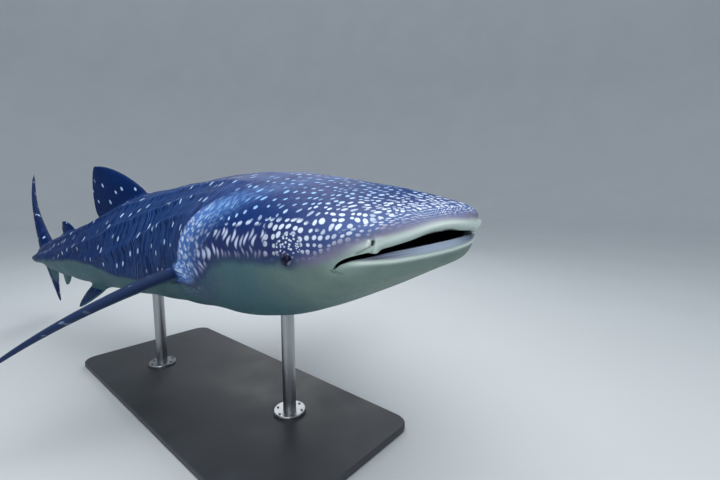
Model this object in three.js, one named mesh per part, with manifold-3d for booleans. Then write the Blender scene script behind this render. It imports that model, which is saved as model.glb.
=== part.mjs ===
// Whale shark, still life-size model on a display stand.
// Millimetres, +Z up. The origin is the centre of the stand base's underside, on the floor.
// The body is drawn straight first, in coordinates (back, left, up) measured from the snout tip,
// then every point is carried along a curved spine into the swimming pose.

import * as THREE from 'three';
import { mergeVertices } from 'three/addons/utils/BufferGeometryUtils.js';
import Module from 'manifold-3d';

const wasm = await Module();
wasm.setup();

// Driving dimensions of the body

const TOTAL_LENGTH = 5500;
const GAP = 0.4;

// Half width, height above and depth below the widest line, at distances back from the snout.
// The power says how square the section is; 2 is an ellipse.
const STATIONS = [
  { back: 0, half: 300, top: 70, bottom: 96, power: 3.6 },
  { back: 150, half: 345, top: 112, bottom: 145, power: 3.3 },
  { back: 350, half: 388, top: 172, bottom: 222, power: 2.75 },
  { back: 600, half: 428, top: 237, bottom: 302, power: 2.4 },
  { back: 900, half: 478, top: 310, bottom: 378, power: 2.27 },
  { back: 1250, half: 508, top: 372, bottom: 420, power: 2.25 },
  { back: 1700, half: 490, top: 400, bottom: 412, power: 2.25 },
  { back: 2300, half: 408, top: 384, bottom: 336, power: 2.25 },
  { back: 2900, half: 297, top: 258, bottom: 246, power: 2.25 },
  { back: 3500, half: 189, top: 168, bottom: 166, power: 2.25 },
  { back: 4000, half: 120, top: 116, bottom: 112, power: 2.25 },
  { back: 4300, half: 86, top: 88, bottom: 86, power: 2.25 },
];
const SNOUT_PLAN = { length: 200, power: 2.3 };
const SNOUT_SIDE = { length: 100, power: 2.2 };
const STALK_END = 4340;
const STALK_ROUNDING = 260;

// The lateral keel widens the tail stalk along the widest line
const KEEL = { start: 2900, full: 3700, height: 42, spread: 0.2 };

// Where the body is parted into lengths, back from the snout
const BODY_LENGTHS = [
  { name: 'head', from: 0, to: 950, rings: 15 },
  { name: 'gill_region', from: 950, to: 1450, rings: 5 },
  { name: 'trunk_front', from: 1450, to: 2350, rings: 8 },
  { name: 'trunk_rear', from: 2350, to: 3250, rings: 8 },
  { name: 'tail_stalk', from: 3250, to: STALK_END, rings: 9 },
];
const POINTS_AROUND = 32;

// Rings crowd towards the snout and the stalk's end by these powers, and stop short of the very tips
const HEAD_CROWDING = 2;
const STALK_CROWDING = 1.7;
const TIP_MARGIN = 2;

// Heading of the spine, in degrees to the left, and its rise, at distances back from the snout
const SPINE_BENDS = [
  { back: 0, yaw: 0, rise: 0 },
  { back: 1000, yaw: 0, rise: 0 },
  { back: 2200, yaw: -34, rise: 2 },
  { back: 3200, yaw: -24.5, rise: 2 },
  { back: 4300, yaw: -7.5, rise: 2 },
  { back: 5600, yaw: 12, rise: 2 },
];
const SPINE_STEP = 10;
const SPINE_SPARE = 100;

// The head is rolled a little to the left against the trunk, most at the snout
const HEAD_ROLL = { angle: -3.5, end: 600 };

// Attitude and place of the whole animal over the base
const HEADING = -12.3;
const NOSE_UP = 5.7;
const BANK = 7.7;
const SNOUT_PLACE = { x: 1720, y: -140, z: 1200 };

// Mouth and jaw
const MOUTH = {
  line: -20,
  bendStart: 108,
  corner: 180,
  cornerDrop: 58,
  cavityLength: 340,
  cavityHalfWidth: 365,
  opening: 38,
};
const JAW_FRONT = -100;
const JAW_BACK_TOP = { back: 430, up: -130 };
const JAW_BACK_BOTTOM = { back: 380, up: -600 };

// Eyes
const EYE = { back: 358, up: -13, radius: 24, inset: 4.5 };

// Display stand
const BASE = { length: 2400, width: 1000, thickness: 40, corner: 90, bevel: 6 };
const ROD = {
  radius: 38,
  flangeRadius: 95,
  flangeHeight: 18,
  flangeEdge: 5.4,
  flangeSlope: 4.75,
  facets: 28,
};
const ROD_BACKS = { front: 1150, rear: 2450 };

// Curves through stations, smooth and without overshoot

function smoothCurve(points, key) {
  const x = points.map((point) => point.back);
  const y = points.map((point) => point[key]);
  const width = x.slice(1).map((value, i) => value - x[i]);
  const slope = width.map((value, i) => (y[i + 1] - y[i]) / value);
  const tangent = x.map((value, i) => {
    if (i === 0) return slope[0];
    if (i === x.length - 1) return slope[i - 1];
    if (slope[i - 1] * slope[i] <= 0) return 0;
    const before = 2 * width[i] + width[i - 1];
    const after = width[i] + 2 * width[i - 1];
    return (before + after) / (before / slope[i - 1] + after / slope[i]);
  });
  return (back) => {
    const clamped = Math.min(Math.max(back, x[0]), x[x.length - 1]);
    let i = 0;
    while (i < width.length - 1 && clamped > x[i + 1]) i += 1;
    const t = (clamped - x[i]) / width[i];
    const startValue = y[i] * (1 + 2 * t) * (1 - t) ** 2;
    const endValue = y[i + 1] * t * t * (3 - 2 * t);
    const startTangent = tangent[i] * width[i] * t * (1 - t) ** 2;
    const endTangent = tangent[i + 1] * width[i] * t * t * (t - 1);
    return startValue + endValue + startTangent + endTangent;
  };
}

const halfWidthAt = smoothCurve(STATIONS, 'half');
const topAt = smoothCurve(STATIONS, 'top');
const bottomAt = smoothCurve(STATIONS, 'bottom');
const powerAt = smoothCurve(STATIONS, 'power');
const yawAt = smoothCurve(SPINE_BENDS, 'yaw');
const riseAt = smoothCurve(SPINE_BENDS, 'rise');

// Fullness from 0 at the tip to 1 at the given distance behind it
function rounding(distance, { length, power }) {
  const u = THREE.MathUtils.clamp(1 - distance / length, 0, 1);
  return (1 - u ** power) ** (1 / power);
}

function keelAt(back) {
  const t = THREE.MathUtils.smoothstep(back, KEEL.start, KEEL.full);
  return KEEL.height * t;
}

// One point of the straight body's surface; the angle runs from the left side over the back
function bodyPoint(back, angle, clearance = 0) {
  const c = Math.cos(angle);
  const s = Math.sin(angle);
  const stalk = rounding(STALK_END - back, { length: STALK_ROUNDING, power: 2 });
  const plan = rounding(back, SNOUT_PLAN) * stalk;
  const side = rounding(back, SNOUT_SIDE) * stalk;
  const half = halfWidthAt(back) * plan + clearance;
  const height = (s > 0 ? topAt(back) : bottomAt(back)) * side + clearance;
  const power = 2 / powerAt(back);
  const keel = keelAt(back) * stalk * Math.exp(-((s / KEEL.spread) ** 2));
  return [
    back,
    Math.sign(c) * (half * Math.abs(c) ** power + keel * Math.abs(c)),
    Math.sign(s) * height * Math.abs(s) ** power,
  ];
}

// The curved spine

function makeSpine() {
  const spine = [{ x: 0, y: 0, z: 0 }];
  for (let back = 0; back < TOTAL_LENGTH + SPINE_SPARE; back += SPINE_STEP) {
    const middle = back + SPINE_STEP / 2;
    const yaw = THREE.MathUtils.degToRad(yawAt(middle));
    const rise = THREE.MathUtils.degToRad(riseAt(middle));
    const last = spine[spine.length - 1];
    spine.push({
      x: last.x - SPINE_STEP * Math.cos(yaw) * Math.cos(rise),
      y: last.y + SPINE_STEP * Math.sin(yaw) * Math.cos(rise),
      z: last.z + SPINE_STEP * Math.sin(rise),
    });
  }
  return spine;
}

const SPINE = makeSpine();

function rollAt(back) {
  return THREE.MathUtils.degToRad(HEAD_ROLL.angle) * (1 - THREE.MathUtils.smoothstep(back, 0, HEAD_ROLL.end));
}

// Carries a point of the straight body into the pose; +X is forward, +Y left, +Z up.
// A paired fin is held stiffly at its root, so it follows the spine's direction there.
function place([back, left, up], root = back) {
  const step = THREE.MathUtils.clamp(Math.floor(root / SPINE_STEP), 0, SPINE.length - 2);
  const t = root / SPINE_STEP - step;
  const from = SPINE[step];
  const to = SPINE[step + 1];
  const yaw = THREE.MathUtils.degToRad(yawAt(root));
  const rise = THREE.MathUtils.degToRad(riseAt(root));
  const roll = rollAt(back);
  const rolledLeft = left * Math.cos(roll) - up * Math.sin(roll);
  const rolledUp = left * Math.sin(roll) + up * Math.cos(roll);
  const beyond = (back - root) * Math.cos(rise) - rolledUp * Math.sin(rise);
  return [
    from.x + (to.x - from.x) * t + rolledLeft * Math.sin(yaw) - beyond * Math.cos(yaw),
    from.y + (to.y - from.y) * t + rolledLeft * Math.cos(yaw) + beyond * Math.sin(yaw),
    from.z + (to.z - from.z) * t + (back - root) * Math.sin(rise) + rolledUp * Math.cos(rise),
  ];
}

// Closed solids from rings of points

function geometryOf(points, triangles) {
  const geometry = new THREE.BufferGeometry();
  geometry.setAttribute('position', new THREE.Float32BufferAttribute(points.flat(), 3));
  geometry.setIndex(triangles.flat());
  return geometry;
}

// Joins rings of equal size, in order, and closes each end with a fan round its middle point
function loft(rings) {
  const size = rings[0].length;
  const points = rings.flat();
  const triangles = [];
  for (let ring = 0; ring < rings.length - 1; ring += 1) {
    for (let i = 0; i < size; i += 1) {
      const a = ring * size + i;
      const b = ring * size + ((i + 1) % size);
      triangles.push([a, b, a + size], [b, b + size, a + size]);
    }
  }
  const middleOf = (ring) => [0, 1, 2].map((axis) => {
    const total = ring.reduce((sum, point) => sum + point[axis], 0);
    return total / size;
  });
  const last = rings.length - 1;
  points.push(middleOf(rings[0]), middleOf(rings[last]));
  for (let i = 0; i < size; i += 1) {
    const next = (i + 1) % size;
    triangles.push([points.length - 2, next, i]);
    triangles.push([points.length - 1, last * size + i, last * size + next]);
  }
  return geometryOf(points, triangles);
}

function signedVolume(geometry) {
  const position = geometry.attributes.position;
  const index = geometry.index.array;
  const [a, b, c] = [new THREE.Vector3(), new THREE.Vector3(), new THREE.Vector3()];
  let volume = 0;
  for (let i = 0; i < index.length; i += 3) {
    a.fromBufferAttribute(position, index[i]);
    b.fromBufferAttribute(position, index[i + 1]);
    c.fromBufferAttribute(position, index[i + 2]);
    volume += a.dot(b.cross(c)) / 6;
  }
  return volume;
}

// Turns the faces of an inside-out geometry outwards
function facingOut(geometry) {
  if (signedVolume(geometry) < 0) {
    const index = geometry.index.array;
    for (let i = 0; i < index.length; i += 3) {
      [index[i], index[i + 1]] = [index[i + 1], index[i]];
    }
  }
  return geometry;
}

function bareOf(geometry) {
  const bare = geometry.clone();
  bare.deleteAttribute('normal');
  bare.deleteAttribute('uv');
  return bare;
}

const WELD = 1e-3;

function solidOf(geometry) {
  const merged = facingOut(mergeVertices(bareOf(geometry), WELD));
  return new wasm.Manifold(new wasm.Mesh({
    numProp: 3,
    vertProperties: new Float32Array(merged.attributes.position.array),
    triVerts: new Uint32Array(merged.index.array),
  }));
}

function geometryFrom(solid) {
  const mesh = solid.getMesh();
  const geometry = new THREE.BufferGeometry();
  geometry.setAttribute('position', new THREE.BufferAttribute(mesh.vertProperties, 3));
  geometry.setIndex(new THREE.BufferAttribute(mesh.triVerts, 1));
  return geometry;
}

// Body lengths

function bodyRing(back, clearance = 0, shift = 0) {
  const ring = [];
  for (let i = 0; i < POINTS_AROUND; i += 1) {
    const angle = (i / POINTS_AROUND) * 2 * Math.PI;
    const [, left, up] = bodyPoint(back, angle, clearance);
    ring.push(place([back + shift, left, up]));
  }
  return ring;
}

function ringBacks({ from, to, rings }) {
  const isHead = from === 0;
  const isStalk = to === STALK_END;
  const backs = [];
  for (let i = 0; i <= rings; i += 1) {
    const t = i / rings;
    const stalkEased = isStalk ? 1 - (1 - t) ** STALK_CROWDING : t;
    const eased = isHead ? t ** HEAD_CROWDING : stalkEased;
    backs.push(from + (to - from) * eased);
  }
  if (isHead) backs[0] = TIP_MARGIN;
  if (isStalk) backs[rings] = to - TIP_MARGIN;
  if (!isHead) backs[0] = from + GAP;
  return backs;
}

function bodyLength(length) {
  return loft(ringBacks(length).map((back) => bodyRing(back)));
}

// The whole body a little larger, for cutting what grows from it or touches it
function bodyWithClearance() {
  const backs = BODY_LENGTHS.flatMap((length, i) => ringBacks(length).slice(i === 0 ? 0 : 1));
  const rings = backs.map((back) => bodyRing(back, GAP));
  rings.push(bodyRing(backs[backs.length - 1], GAP, GAP));
  return loft(rings);
}

// Mouth, jaw and eyes

// Side outline of everything below the mouth line, as far back as the jaw reaches
function jawBlock(grow) {
  const outline = new THREE.Shape();
  outline.moveTo(JAW_FRONT, MOUTH.line + grow);
  outline.lineTo(MOUTH.bendStart, MOUTH.line + grow);
  outline.quadraticCurveTo(
    MOUTH.corner, MOUTH.line + grow, MOUTH.corner + grow, MOUTH.line - MOUTH.cornerDrop + grow,
  );
  outline.lineTo(JAW_BACK_TOP.back + grow, JAW_BACK_TOP.up + grow);
  outline.lineTo(JAW_BACK_BOTTOM.back + grow, JAW_BACK_BOTTOM.up);
  outline.lineTo(JAW_FRONT, JAW_BACK_BOTTOM.up);
  outline.closePath();
  const reach = 2 * MOUTH.cavityHalfWidth;
  const block = new THREE.ExtrudeGeometry(outline, {
    depth: 2 * reach,
    bevelEnabled: false,
    curveSegments: 6,
  });
  block.translate(0, 0, -reach);
  const turned = new THREE.Matrix4().makeBasis(
    new THREE.Vector3(-1, 0, 0),
    new THREE.Vector3(0, 0, 1),
    new THREE.Vector3(0, 1, 0),
  );
  return block.applyMatrix4(turned);
}

function mouthCavity() {
  const cavity = new THREE.SphereGeometry(1, 28, 10);
  cavity.rotateX(Math.PI / 2);
  cavity.scale(MOUTH.cavityLength, MOUTH.cavityHalfWidth, MOUTH.opening / 2);
  return cavity.translate(0, 0, MOUTH.line);
}

function eyeCentre(side) {
  const left = side * (halfWidthAt(EYE.back) - EYE.inset);
  return place([EYE.back, left, EYE.up]);
}

function eyeBall(side, radius) {
  const ball = new THREE.SphereGeometry(radius, 16, 10);
  return ball.translate(...eyeCentre(side));
}

// Fins

const NACA = [0.2969, -0.126, -0.3516, 0.2843, -0.1036];

// Half thickness of a streamlined section at a fraction of its chord, for a full thickness of 1
function sectionHalf(c) {
  const [a, b, d, e, f] = NACA;
  return 5 * (a * Math.sqrt(c) + b * c + d * c ** 2 + e * c ** 3 + f * c ** 4);
}

const FIN_CHORD_STEPS = 8;
const FIN_EDGE = 3;
const FIN_TIP_CROWDING = 1.2;
const FIN_FULLEST = 0.4;
const FIN_SLOPE_STEP = 0.02;

// A blade between a leading and a trailing edge, which meet at the tip
function finBlade({ leading, trailing, thickness, spans, root }) {
  const rings = [];
  for (let i = 0; i < spans; i += 1) {
    const t = Math.sin((i / spans) * (Math.PI / 2)) ** FIN_TIP_CROWDING;
    const front = leading(t);
    const chord = trailing(t).clone().sub(front);
    const beforeIt = leading(Math.max(t - FIN_SLOPE_STEP, 0));
    const along = leading(Math.min(t + FIN_SLOPE_STEP, 1)).clone().sub(beforeIt);
    const normal = along.cross(chord).normalize();
    const full = Math.min(thickness(t), chord.length() * FIN_FULLEST);
    const edge = Math.min(FIN_EDGE, full / 2);
    const offset = (c) => full * sectionHalf(c) + (c * edge) / 2;
    const ring = [];
    for (let j = 0; j <= FIN_CHORD_STEPS; j += 1) {
      const c = (1 - Math.cos((j / FIN_CHORD_STEPS) * Math.PI)) / 2;
      ring.push(front.clone().addScaledVector(chord, c).addScaledVector(normal, offset(c)));
    }
    for (let j = FIN_CHORD_STEPS; j > 0; j -= 1) {
      const c = (1 - Math.cos((j / FIN_CHORD_STEPS) * Math.PI)) / 2;
      ring.push(front.clone().addScaledVector(chord, c).addScaledVector(normal, -offset(c)));
    }
    rings.push(ring.map((point) => place(point.toArray(), root)));
  }
  return loft(rings);
}

function curve(...points) {
  const path = new THREE.CubicBezierCurve3(...points.map((point) => new THREE.Vector3(...point)));
  return (t) => path.getPoint(t);
}

const upright = (back, up) => [back, 0, up];

function firstDorsal() {
  return finBlade({
    leading: curve(upright(2330, 300), upright(2480, 500), upright(2690, 640), upright(2900, 655)),
    trailing: curve(upright(2960, 190), upright(3060, 330), upright(2950, 640), upright(2900, 655)),
    thickness: (t) => 66 * (1 - t) + 16,
    spans: 10,
  });
}

function secondDorsal() {
  return finBlade({
    leading: curve(upright(3290, 130), upright(3390, 235), upright(3470, 285), upright(3560, 288)),
    trailing: curve(upright(3570, 100), upright(3680, 190), upright(3570, 280), upright(3560, 288)),
    thickness: (t) => 34 * (1 - t) + 10,
    spans: 7,
  });
}

function analFin() {
  return finBlade({
    leading: curve(upright(3600, -110), upright(3700, -225), upright(3760, -275), upright(3850, -290)),
    trailing: curve(upright(3840, -70), upright(3910, -180), upright(3860, -280), upright(3850, -290)),
    thickness: (t) => 32 * (1 - t) + 10,
    spans: 7,
  });
}

const CAUDAL_FORK = { back: 4610, up: 30 };
const CAUDAL_ROOT = { back: 4090, up: 0 };

function caudalUpper() {
  const parting = GAP / 2;
  return finBlade({
    leading: curve(
      upright(CAUDAL_ROOT.back, CAUDAL_ROOT.up + parting),
      upright(4260, 260),
      upright(4960, 630),
      upright(5400, 900),
    ),
    trailing: curve(
      upright(CAUDAL_FORK.back, CAUDAL_FORK.up + parting),
      upright(4700, 220),
      upright(5080, 520),
      upright(5400, 900),
    ),
    thickness: (t) => 90 * (1 - t) ** 2 + 34 * (1 - t) + 14,
    spans: 12,
  });
}

function caudalLower() {
  const parting = GAP / 2;
  return finBlade({
    leading: curve(
      upright(CAUDAL_ROOT.back, CAUDAL_ROOT.up - parting),
      upright(4230, -260),
      upright(4470, -440),
      upright(4740, -560),
    ),
    trailing: curve(
      upright(CAUDAL_FORK.back, CAUDAL_FORK.up - parting),
      upright(4580, -130),
      upright(4610, -330),
      upright(4740, -560),
    ),
    thickness: (t) => 90 * (1 - t) ** 2 + 30 * (1 - t) + 14,
    spans: 9,
  });
}

// The leading edge turns steadily backwards and downwards from root to tip
const PECTORAL = {
  root: { back: 1450, left: 514, up: -62 },
  inset: 110,
  length: 1080,
  sweep: [31, 51],
  droop: [11.5, 25],
  chord: 450,
  pitch: 13,
  steps: 60,
};

function pectoral(side) {
  const { root, inset, length, sweep, droop, chord, pitch, steps } = PECTORAL;
  const radians = THREE.MathUtils.degToRad;
  const direction = (t) => {
    const back = radians(THREE.MathUtils.lerp(sweep[0], sweep[1], t));
    const down = radians(THREE.MathUtils.lerp(droop[0], droop[1], t));
    return new THREE.Vector3(
      Math.sin(back) * Math.cos(down),
      side * Math.cos(back) * Math.cos(down),
      -Math.sin(down),
    );
  };
  const start = new THREE.Vector3(root.back, side * root.left, root.up);
  start.addScaledVector(direction(0), -inset);
  const leading = (t) => {
    const reach = t * (length + inset);
    const point = start.clone();
    for (let i = 0; i < steps; i += 1) {
      const travelled = ((i + 0.5) / steps) * reach - inset;
      const turn = THREE.MathUtils.clamp(travelled / length, 0, 1);
      point.addScaledVector(direction(turn), reach / steps);
    }
    return point;
  };
  const trailing = (t) => {
    const width = chord * (1 - t) ** 0.85 * (1 + 0.25 * t * (1 - t)) + 6;
    const back = new THREE.Vector3(Math.cos(radians(pitch)), 0, -Math.sin(radians(pitch)));
    return leading(t).addScaledVector(back, width);
  };
  return finBlade({ leading, trailing, thickness: (t) => 62 * (1 - t) + 16, spans: 12, root: root.back });
}

const PELVIC_ROOT = 2700;

function pelvic(side) {
  const point = (back, left, up) => [back, side * left, up];
  return finBlade({
    leading: curve(
      point(PELVIC_ROOT, 110, -170),
      point(2790, 220, -270),
      point(2860, 270, -320),
      point(2950, 300, -350),
    ),
    trailing: curve(
      point(2960, 80, -140),
      point(3030, 170, -250),
      point(2990, 280, -335),
      point(2950, 300, -350),
    ),
    thickness: (t) => 40 * (1 - t) + 10,
    spans: 8,
    root: PELVIC_ROOT,
  });
}

// Materials

function finish(color, roughness, metalness = 0) {
  return new THREE.MeshStandardMaterial({ color, roughness, metalness });
}

const SKIN = finish(0x46506e, 0.5);
const BELLY_SKIN = finish(0xc9cfc8, 0.5);
const FIN_SKIN = finish(0x39435f, 0.5);
const EYE_BLACK = finish(0x0b0d12, 0.15);
const STAND_PAINT = finish(0x2b2d30, 0.55);
const STAND_STEEL = finish(0x9a9da1, 0.35, 0.9);

function named(name, geometry, material) {
  const mesh = new THREE.Mesh(geometry, material);
  mesh.name = name;
  return mesh;
}

// The animal, in its own frame

const shark = new THREE.Group();
const clearBody = solidOf(bodyWithClearance());
const sockets = [1, -1].map((side) => solidOf(eyeBall(side, EYE.radius + GAP)));

function addBody() {
  for (const length of BODY_LENGTHS.slice(1)) {
    shark.add(named(length.name, facingOut(bodyLength(length)), SKIN));
  }
  const whole = solidOf(bodyLength(BODY_LENGTHS[0]));
  const cavity = solidOf(mouthCavity());
  const jaw = whole.intersect(solidOf(jawBlock(0))).subtract(cavity);
  const upper = whole.subtract(solidOf(jawBlock(GAP))).subtract(cavity);
  const skull = upper.subtract(sockets[0]).subtract(sockets[1]);
  shark.add(named('head', geometryFrom(skull), SKIN));
  shark.add(named('lower_jaw', geometryFrom(jaw), BELLY_SKIN));
}

function addEyes() {
  shark.add(named('eye_left', mergeVertices(bareOf(eyeBall(1, EYE.radius))), EYE_BLACK));
  shark.add(named('eye_right', mergeVertices(bareOf(eyeBall(-1, EYE.radius))), EYE_BLACK));
}

function addFins() {
  const fins = [
    ['dorsal_fin_first', firstDorsal()],
    ['dorsal_fin_second', secondDorsal()],
    ['anal_fin', analFin()],
    ['caudal_upper_lobe', caudalUpper()],
    ['caudal_lower_lobe', caudalLower()],
    ['pectoral_fin_left', pectoral(1)],
    ['pectoral_fin_right', pectoral(-1)],
    ['pelvic_fin_left', pelvic(1)],
    ['pelvic_fin_right', pelvic(-1)],
  ];
  for (const [name, blade] of fins) {
    shark.add(named(name, geometryFrom(solidOf(blade).subtract(clearBody)), FIN_SKIN));
  }
}

addBody();
addEyes();
addFins();

shark.rotation.order = 'ZYX';
shark.rotation.set(
  THREE.MathUtils.degToRad(BANK),
  THREE.MathUtils.degToRad(-NOSE_UP),
  THREE.MathUtils.degToRad(HEADING),
);
shark.position.set(SNOUT_PLACE.x, SNOUT_PLACE.y, SNOUT_PLACE.z);
shark.updateMatrixWorld(true);

// The display stand

function roundedPlate({ length, width, thickness, corner, bevel }) {
  const x = length / 2 - bevel;
  const y = width / 2 - bevel;
  const outline = new THREE.Shape();
  outline.moveTo(-x + corner, -y);
  outline.lineTo(x - corner, -y);
  outline.absarc(x - corner, -y + corner, corner, -Math.PI / 2, 0);
  outline.absarc(x - corner, y - corner, corner, 0, Math.PI / 2);
  outline.absarc(-x + corner, y - corner, corner, Math.PI / 2, Math.PI);
  outline.absarc(-x + corner, -y + corner, corner, Math.PI, 1.5 * Math.PI);
  const plate = new THREE.ExtrudeGeometry(outline, {
    depth: thickness - 2 * bevel,
    bevelThickness: bevel,
    bevelSize: bevel,
    bevelSegments: 1,
    curveSegments: 6,
  });
  return plate.translate(0, 0, bevel);
}

function rod(back) {
  const foot = new THREE.Vector3(...place([back, 0, 0])).applyMatrix4(shark.matrixWorld);
  const bottom = BASE.thickness + GAP;
  const profile = [
    new THREE.Vector2(0, 0),
    new THREE.Vector2(ROD.flangeRadius, 0),
    new THREE.Vector2(ROD.flangeRadius, ROD.flangeHeight - ROD.flangeEdge),
    new THREE.Vector2(ROD.flangeRadius - ROD.flangeSlope, ROD.flangeHeight),
    new THREE.Vector2(ROD.radius, ROD.flangeHeight),
    new THREE.Vector2(ROD.radius, foot.z - bottom),
    new THREE.Vector2(0, foot.z - bottom),
  ];
  const turned = new THREE.LatheGeometry(profile, ROD.facets);
  turned.rotateX(Math.PI / 2);
  turned.translate(foot.x, foot.y, bottom);
  const belly = solidOf(bodyWithClearance().applyMatrix4(shark.matrixWorld));
  return geometryFrom(solidOf(turned).subtract(belly));
}

const stand = new THREE.Group();
stand.add(named('stand_base', mergeVertices(bareOf(roundedPlate(BASE))), STAND_PAINT));
stand.add(named('stand_rod_front', rod(ROD_BACKS.front), STAND_STEEL));
stand.add(named('stand_rod_rear', rod(ROD_BACKS.rear), STAND_STEEL));

const model = new THREE.Group();
model.add(shark, stand);

export default model;
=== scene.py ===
# Whale shark, a still life-size model on a plain display stand. Metres, +Z up.
# The animal is drawn straight first, as (back, left, up) from the snout tip, with the same numbers
# and formulas as its solids, and is then carried along the curved spine into the swimming pose.
import math

import bmesh
import bpy
import numpy as np
from mathutils import Euler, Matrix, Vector
from mathutils.kdtree import KDTree


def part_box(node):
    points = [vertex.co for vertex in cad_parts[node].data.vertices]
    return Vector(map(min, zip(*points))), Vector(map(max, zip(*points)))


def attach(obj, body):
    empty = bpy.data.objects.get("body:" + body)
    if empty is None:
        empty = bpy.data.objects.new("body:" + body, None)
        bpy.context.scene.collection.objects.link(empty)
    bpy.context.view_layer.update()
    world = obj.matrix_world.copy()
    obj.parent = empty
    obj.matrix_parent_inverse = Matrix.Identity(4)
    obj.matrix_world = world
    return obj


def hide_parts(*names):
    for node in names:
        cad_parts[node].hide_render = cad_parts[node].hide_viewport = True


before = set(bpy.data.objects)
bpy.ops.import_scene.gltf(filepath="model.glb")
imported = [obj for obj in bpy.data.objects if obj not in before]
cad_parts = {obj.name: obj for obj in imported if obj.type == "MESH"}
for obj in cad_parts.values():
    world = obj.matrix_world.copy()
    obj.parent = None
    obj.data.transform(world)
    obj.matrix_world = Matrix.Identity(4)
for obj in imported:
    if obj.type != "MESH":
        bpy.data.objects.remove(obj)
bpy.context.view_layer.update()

# Body: distance back from the snout, half width, height above and depth below the widest line, and
# how square the section is (2 is an ellipse)
STATIONS = np.array([
    (0.00, 0.300, 0.070, 0.096, 3.60),
    (0.15, 0.345, 0.112, 0.145, 3.30),
    (0.35, 0.388, 0.172, 0.222, 2.75),
    (0.60, 0.428, 0.237, 0.302, 2.40),
    (0.90, 0.478, 0.310, 0.378, 2.27),
    (1.25, 0.508, 0.372, 0.420, 2.25),
    (1.70, 0.490, 0.400, 0.412, 2.25),
    (2.30, 0.408, 0.384, 0.336, 2.25),
    (2.90, 0.297, 0.258, 0.246, 2.25),
    (3.50, 0.189, 0.168, 0.166, 2.25),
    (4.00, 0.120, 0.116, 0.112, 2.25),
    (4.30, 0.086, 0.088, 0.086, 2.25),
])
SNOUT_PLAN = (0.200, 2.3)
SNOUT_SIDE = (0.100, 2.2)
STALK_END = 4.340
STALK_ROUNDING = (0.260, 2.0)
KEEL_START = 2.9
KEEL_FULL = 3.7
KEEL_HEIGHT = 0.042
KEEL_SPREAD = 0.2

# Spine: distance back, heading to the left and rise in degrees
SPINE_BENDS = np.array([
    (0.0, 0.0, 0.0),
    (1.0, 0.0, 0.0),
    (2.2, -34.0, 2.0),
    (3.2, -24.5, 2.0),
    (4.3, -7.5, 2.0),
    (5.6, 12.0, 2.0),
])
SPINE_STEP = 0.010
SPINE_LENGTH = 5.6
# The head is rolled a little to the left against the trunk, in degrees at the snout
HEAD_ROLL = -3.5
HEAD_ROLL_END = 0.6
ATTITUDE = Euler((math.radians(7.7), math.radians(-5.7), math.radians(-12.3)), "XYZ").to_matrix()
SNOUT_PLACE = Vector((1.720, -0.140, 1.200))

EYE_BACK = 0.358
EYE_UP = -0.013
EYE_RADIUS = 0.024
EYE_INSET = 0.0045
EYE_OPENING = 0.0170
EYE_FORWARD = 0.0012
EYE_WIDTH = 1.13
EYE_HEIGHT = 0.96

FLESH = (
    "head", "lower_jaw", "gill_region", "trunk_front", "trunk_rear", "tail_stalk",
    "caudal_upper_lobe", "caudal_lower_lobe", "dorsal_fin_first", "dorsal_fin_second", "anal_fin",
    "pectoral_fin_left", "pectoral_fin_right", "pelvic_fin_left", "pelvic_fin_right",
)


def smooth_curve(knots, values):
    """A smooth curve through the knots that doesn't overshoot them."""
    x = np.asarray(knots, float)
    y = np.asarray(values, float)
    width = np.diff(x)
    slope = np.diff(y) / width
    before = 2 * width[1:] + width[:-1]
    after = width[1:] + 2 * width[:-1]
    monotone = slope[:-1] * slope[1:] > 0
    first = np.where(monotone, slope[:-1], 1.0)
    second = np.where(monotone, slope[1:], 1.0)
    middle = np.where(monotone, (before + after) / (before / first + after / second), 0.0)
    tangent = np.concatenate([slope[:1], middle, slope[-1:]])

    def value(at):
        at = np.clip(at, x[0], x[-1])
        i = np.clip(np.searchsorted(x, at, side="left") - 1, 0, len(width) - 1)
        t = (at - x[i]) / width[i]
        start = y[i] * (1 + 2 * t) * (1 - t) ** 2 + tangent[i] * width[i] * t * (1 - t) ** 2
        end = y[i + 1] * t * t * (3 - 2 * t) + tangent[i + 1] * width[i] * t * t * (t - 1)
        return start + end

    return value


def ease(value, low, high):
    """0 below low, 1 above high, and smooth between."""
    t = np.clip((value - low) / (high - low), 0, 1)
    return t * t * (3 - 2 * t)


def hump(value, centre, width):
    return np.exp(-(((value - centre) / width) ** 2))


half_at = smooth_curve(STATIONS[:, 0], STATIONS[:, 1])
top_at = smooth_curve(STATIONS[:, 0], STATIONS[:, 2])
bottom_at = smooth_curve(STATIONS[:, 0], STATIONS[:, 3])
power_at = smooth_curve(STATIONS[:, 0], STATIONS[:, 4])
yaw_at = smooth_curve(SPINE_BENDS[:, 0], np.radians(SPINE_BENDS[:, 1]))
rise_at = smooth_curve(SPINE_BENDS[:, 0], np.radians(SPINE_BENDS[:, 2]))


def rounding(distance, shape):
    """Fullness from 0 at the tip to 1 at the given distance behind it."""
    length, power = shape
    return (1 - np.clip(1 - distance / length, 0, 1) ** power) ** (1 / power)


def section(back):
    """Half width, height, depth and keel height of the straight body."""
    stalk = rounding(STALK_END - back, STALK_ROUNDING)
    plan = rounding(back, SNOUT_PLAN) * stalk
    side = rounding(back, SNOUT_SIDE) * stalk
    keel = KEEL_HEIGHT * ease(back, KEEL_START, KEEL_FULL) * stalk
    return half_at(back) * plan, top_at(back) * side, bottom_at(back) * side, keel


def body_point(back, angle):
    """Surface of the straight body; the angle runs from the left side over the back."""
    c, s = np.cos(angle), np.sin(angle)
    half, top, bottom, keel = section(back)
    power = 2 / power_at(back)
    keel = keel * np.exp(-((s / KEEL_SPREAD) ** 2))
    left = np.sign(c) * (half * np.abs(c) ** power + keel * np.abs(c))
    up = np.sign(s) * np.where(s > 0, top, bottom) * np.abs(s) ** power
    return np.stack(np.broadcast_arrays(back, left, up), axis=-1)


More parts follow.
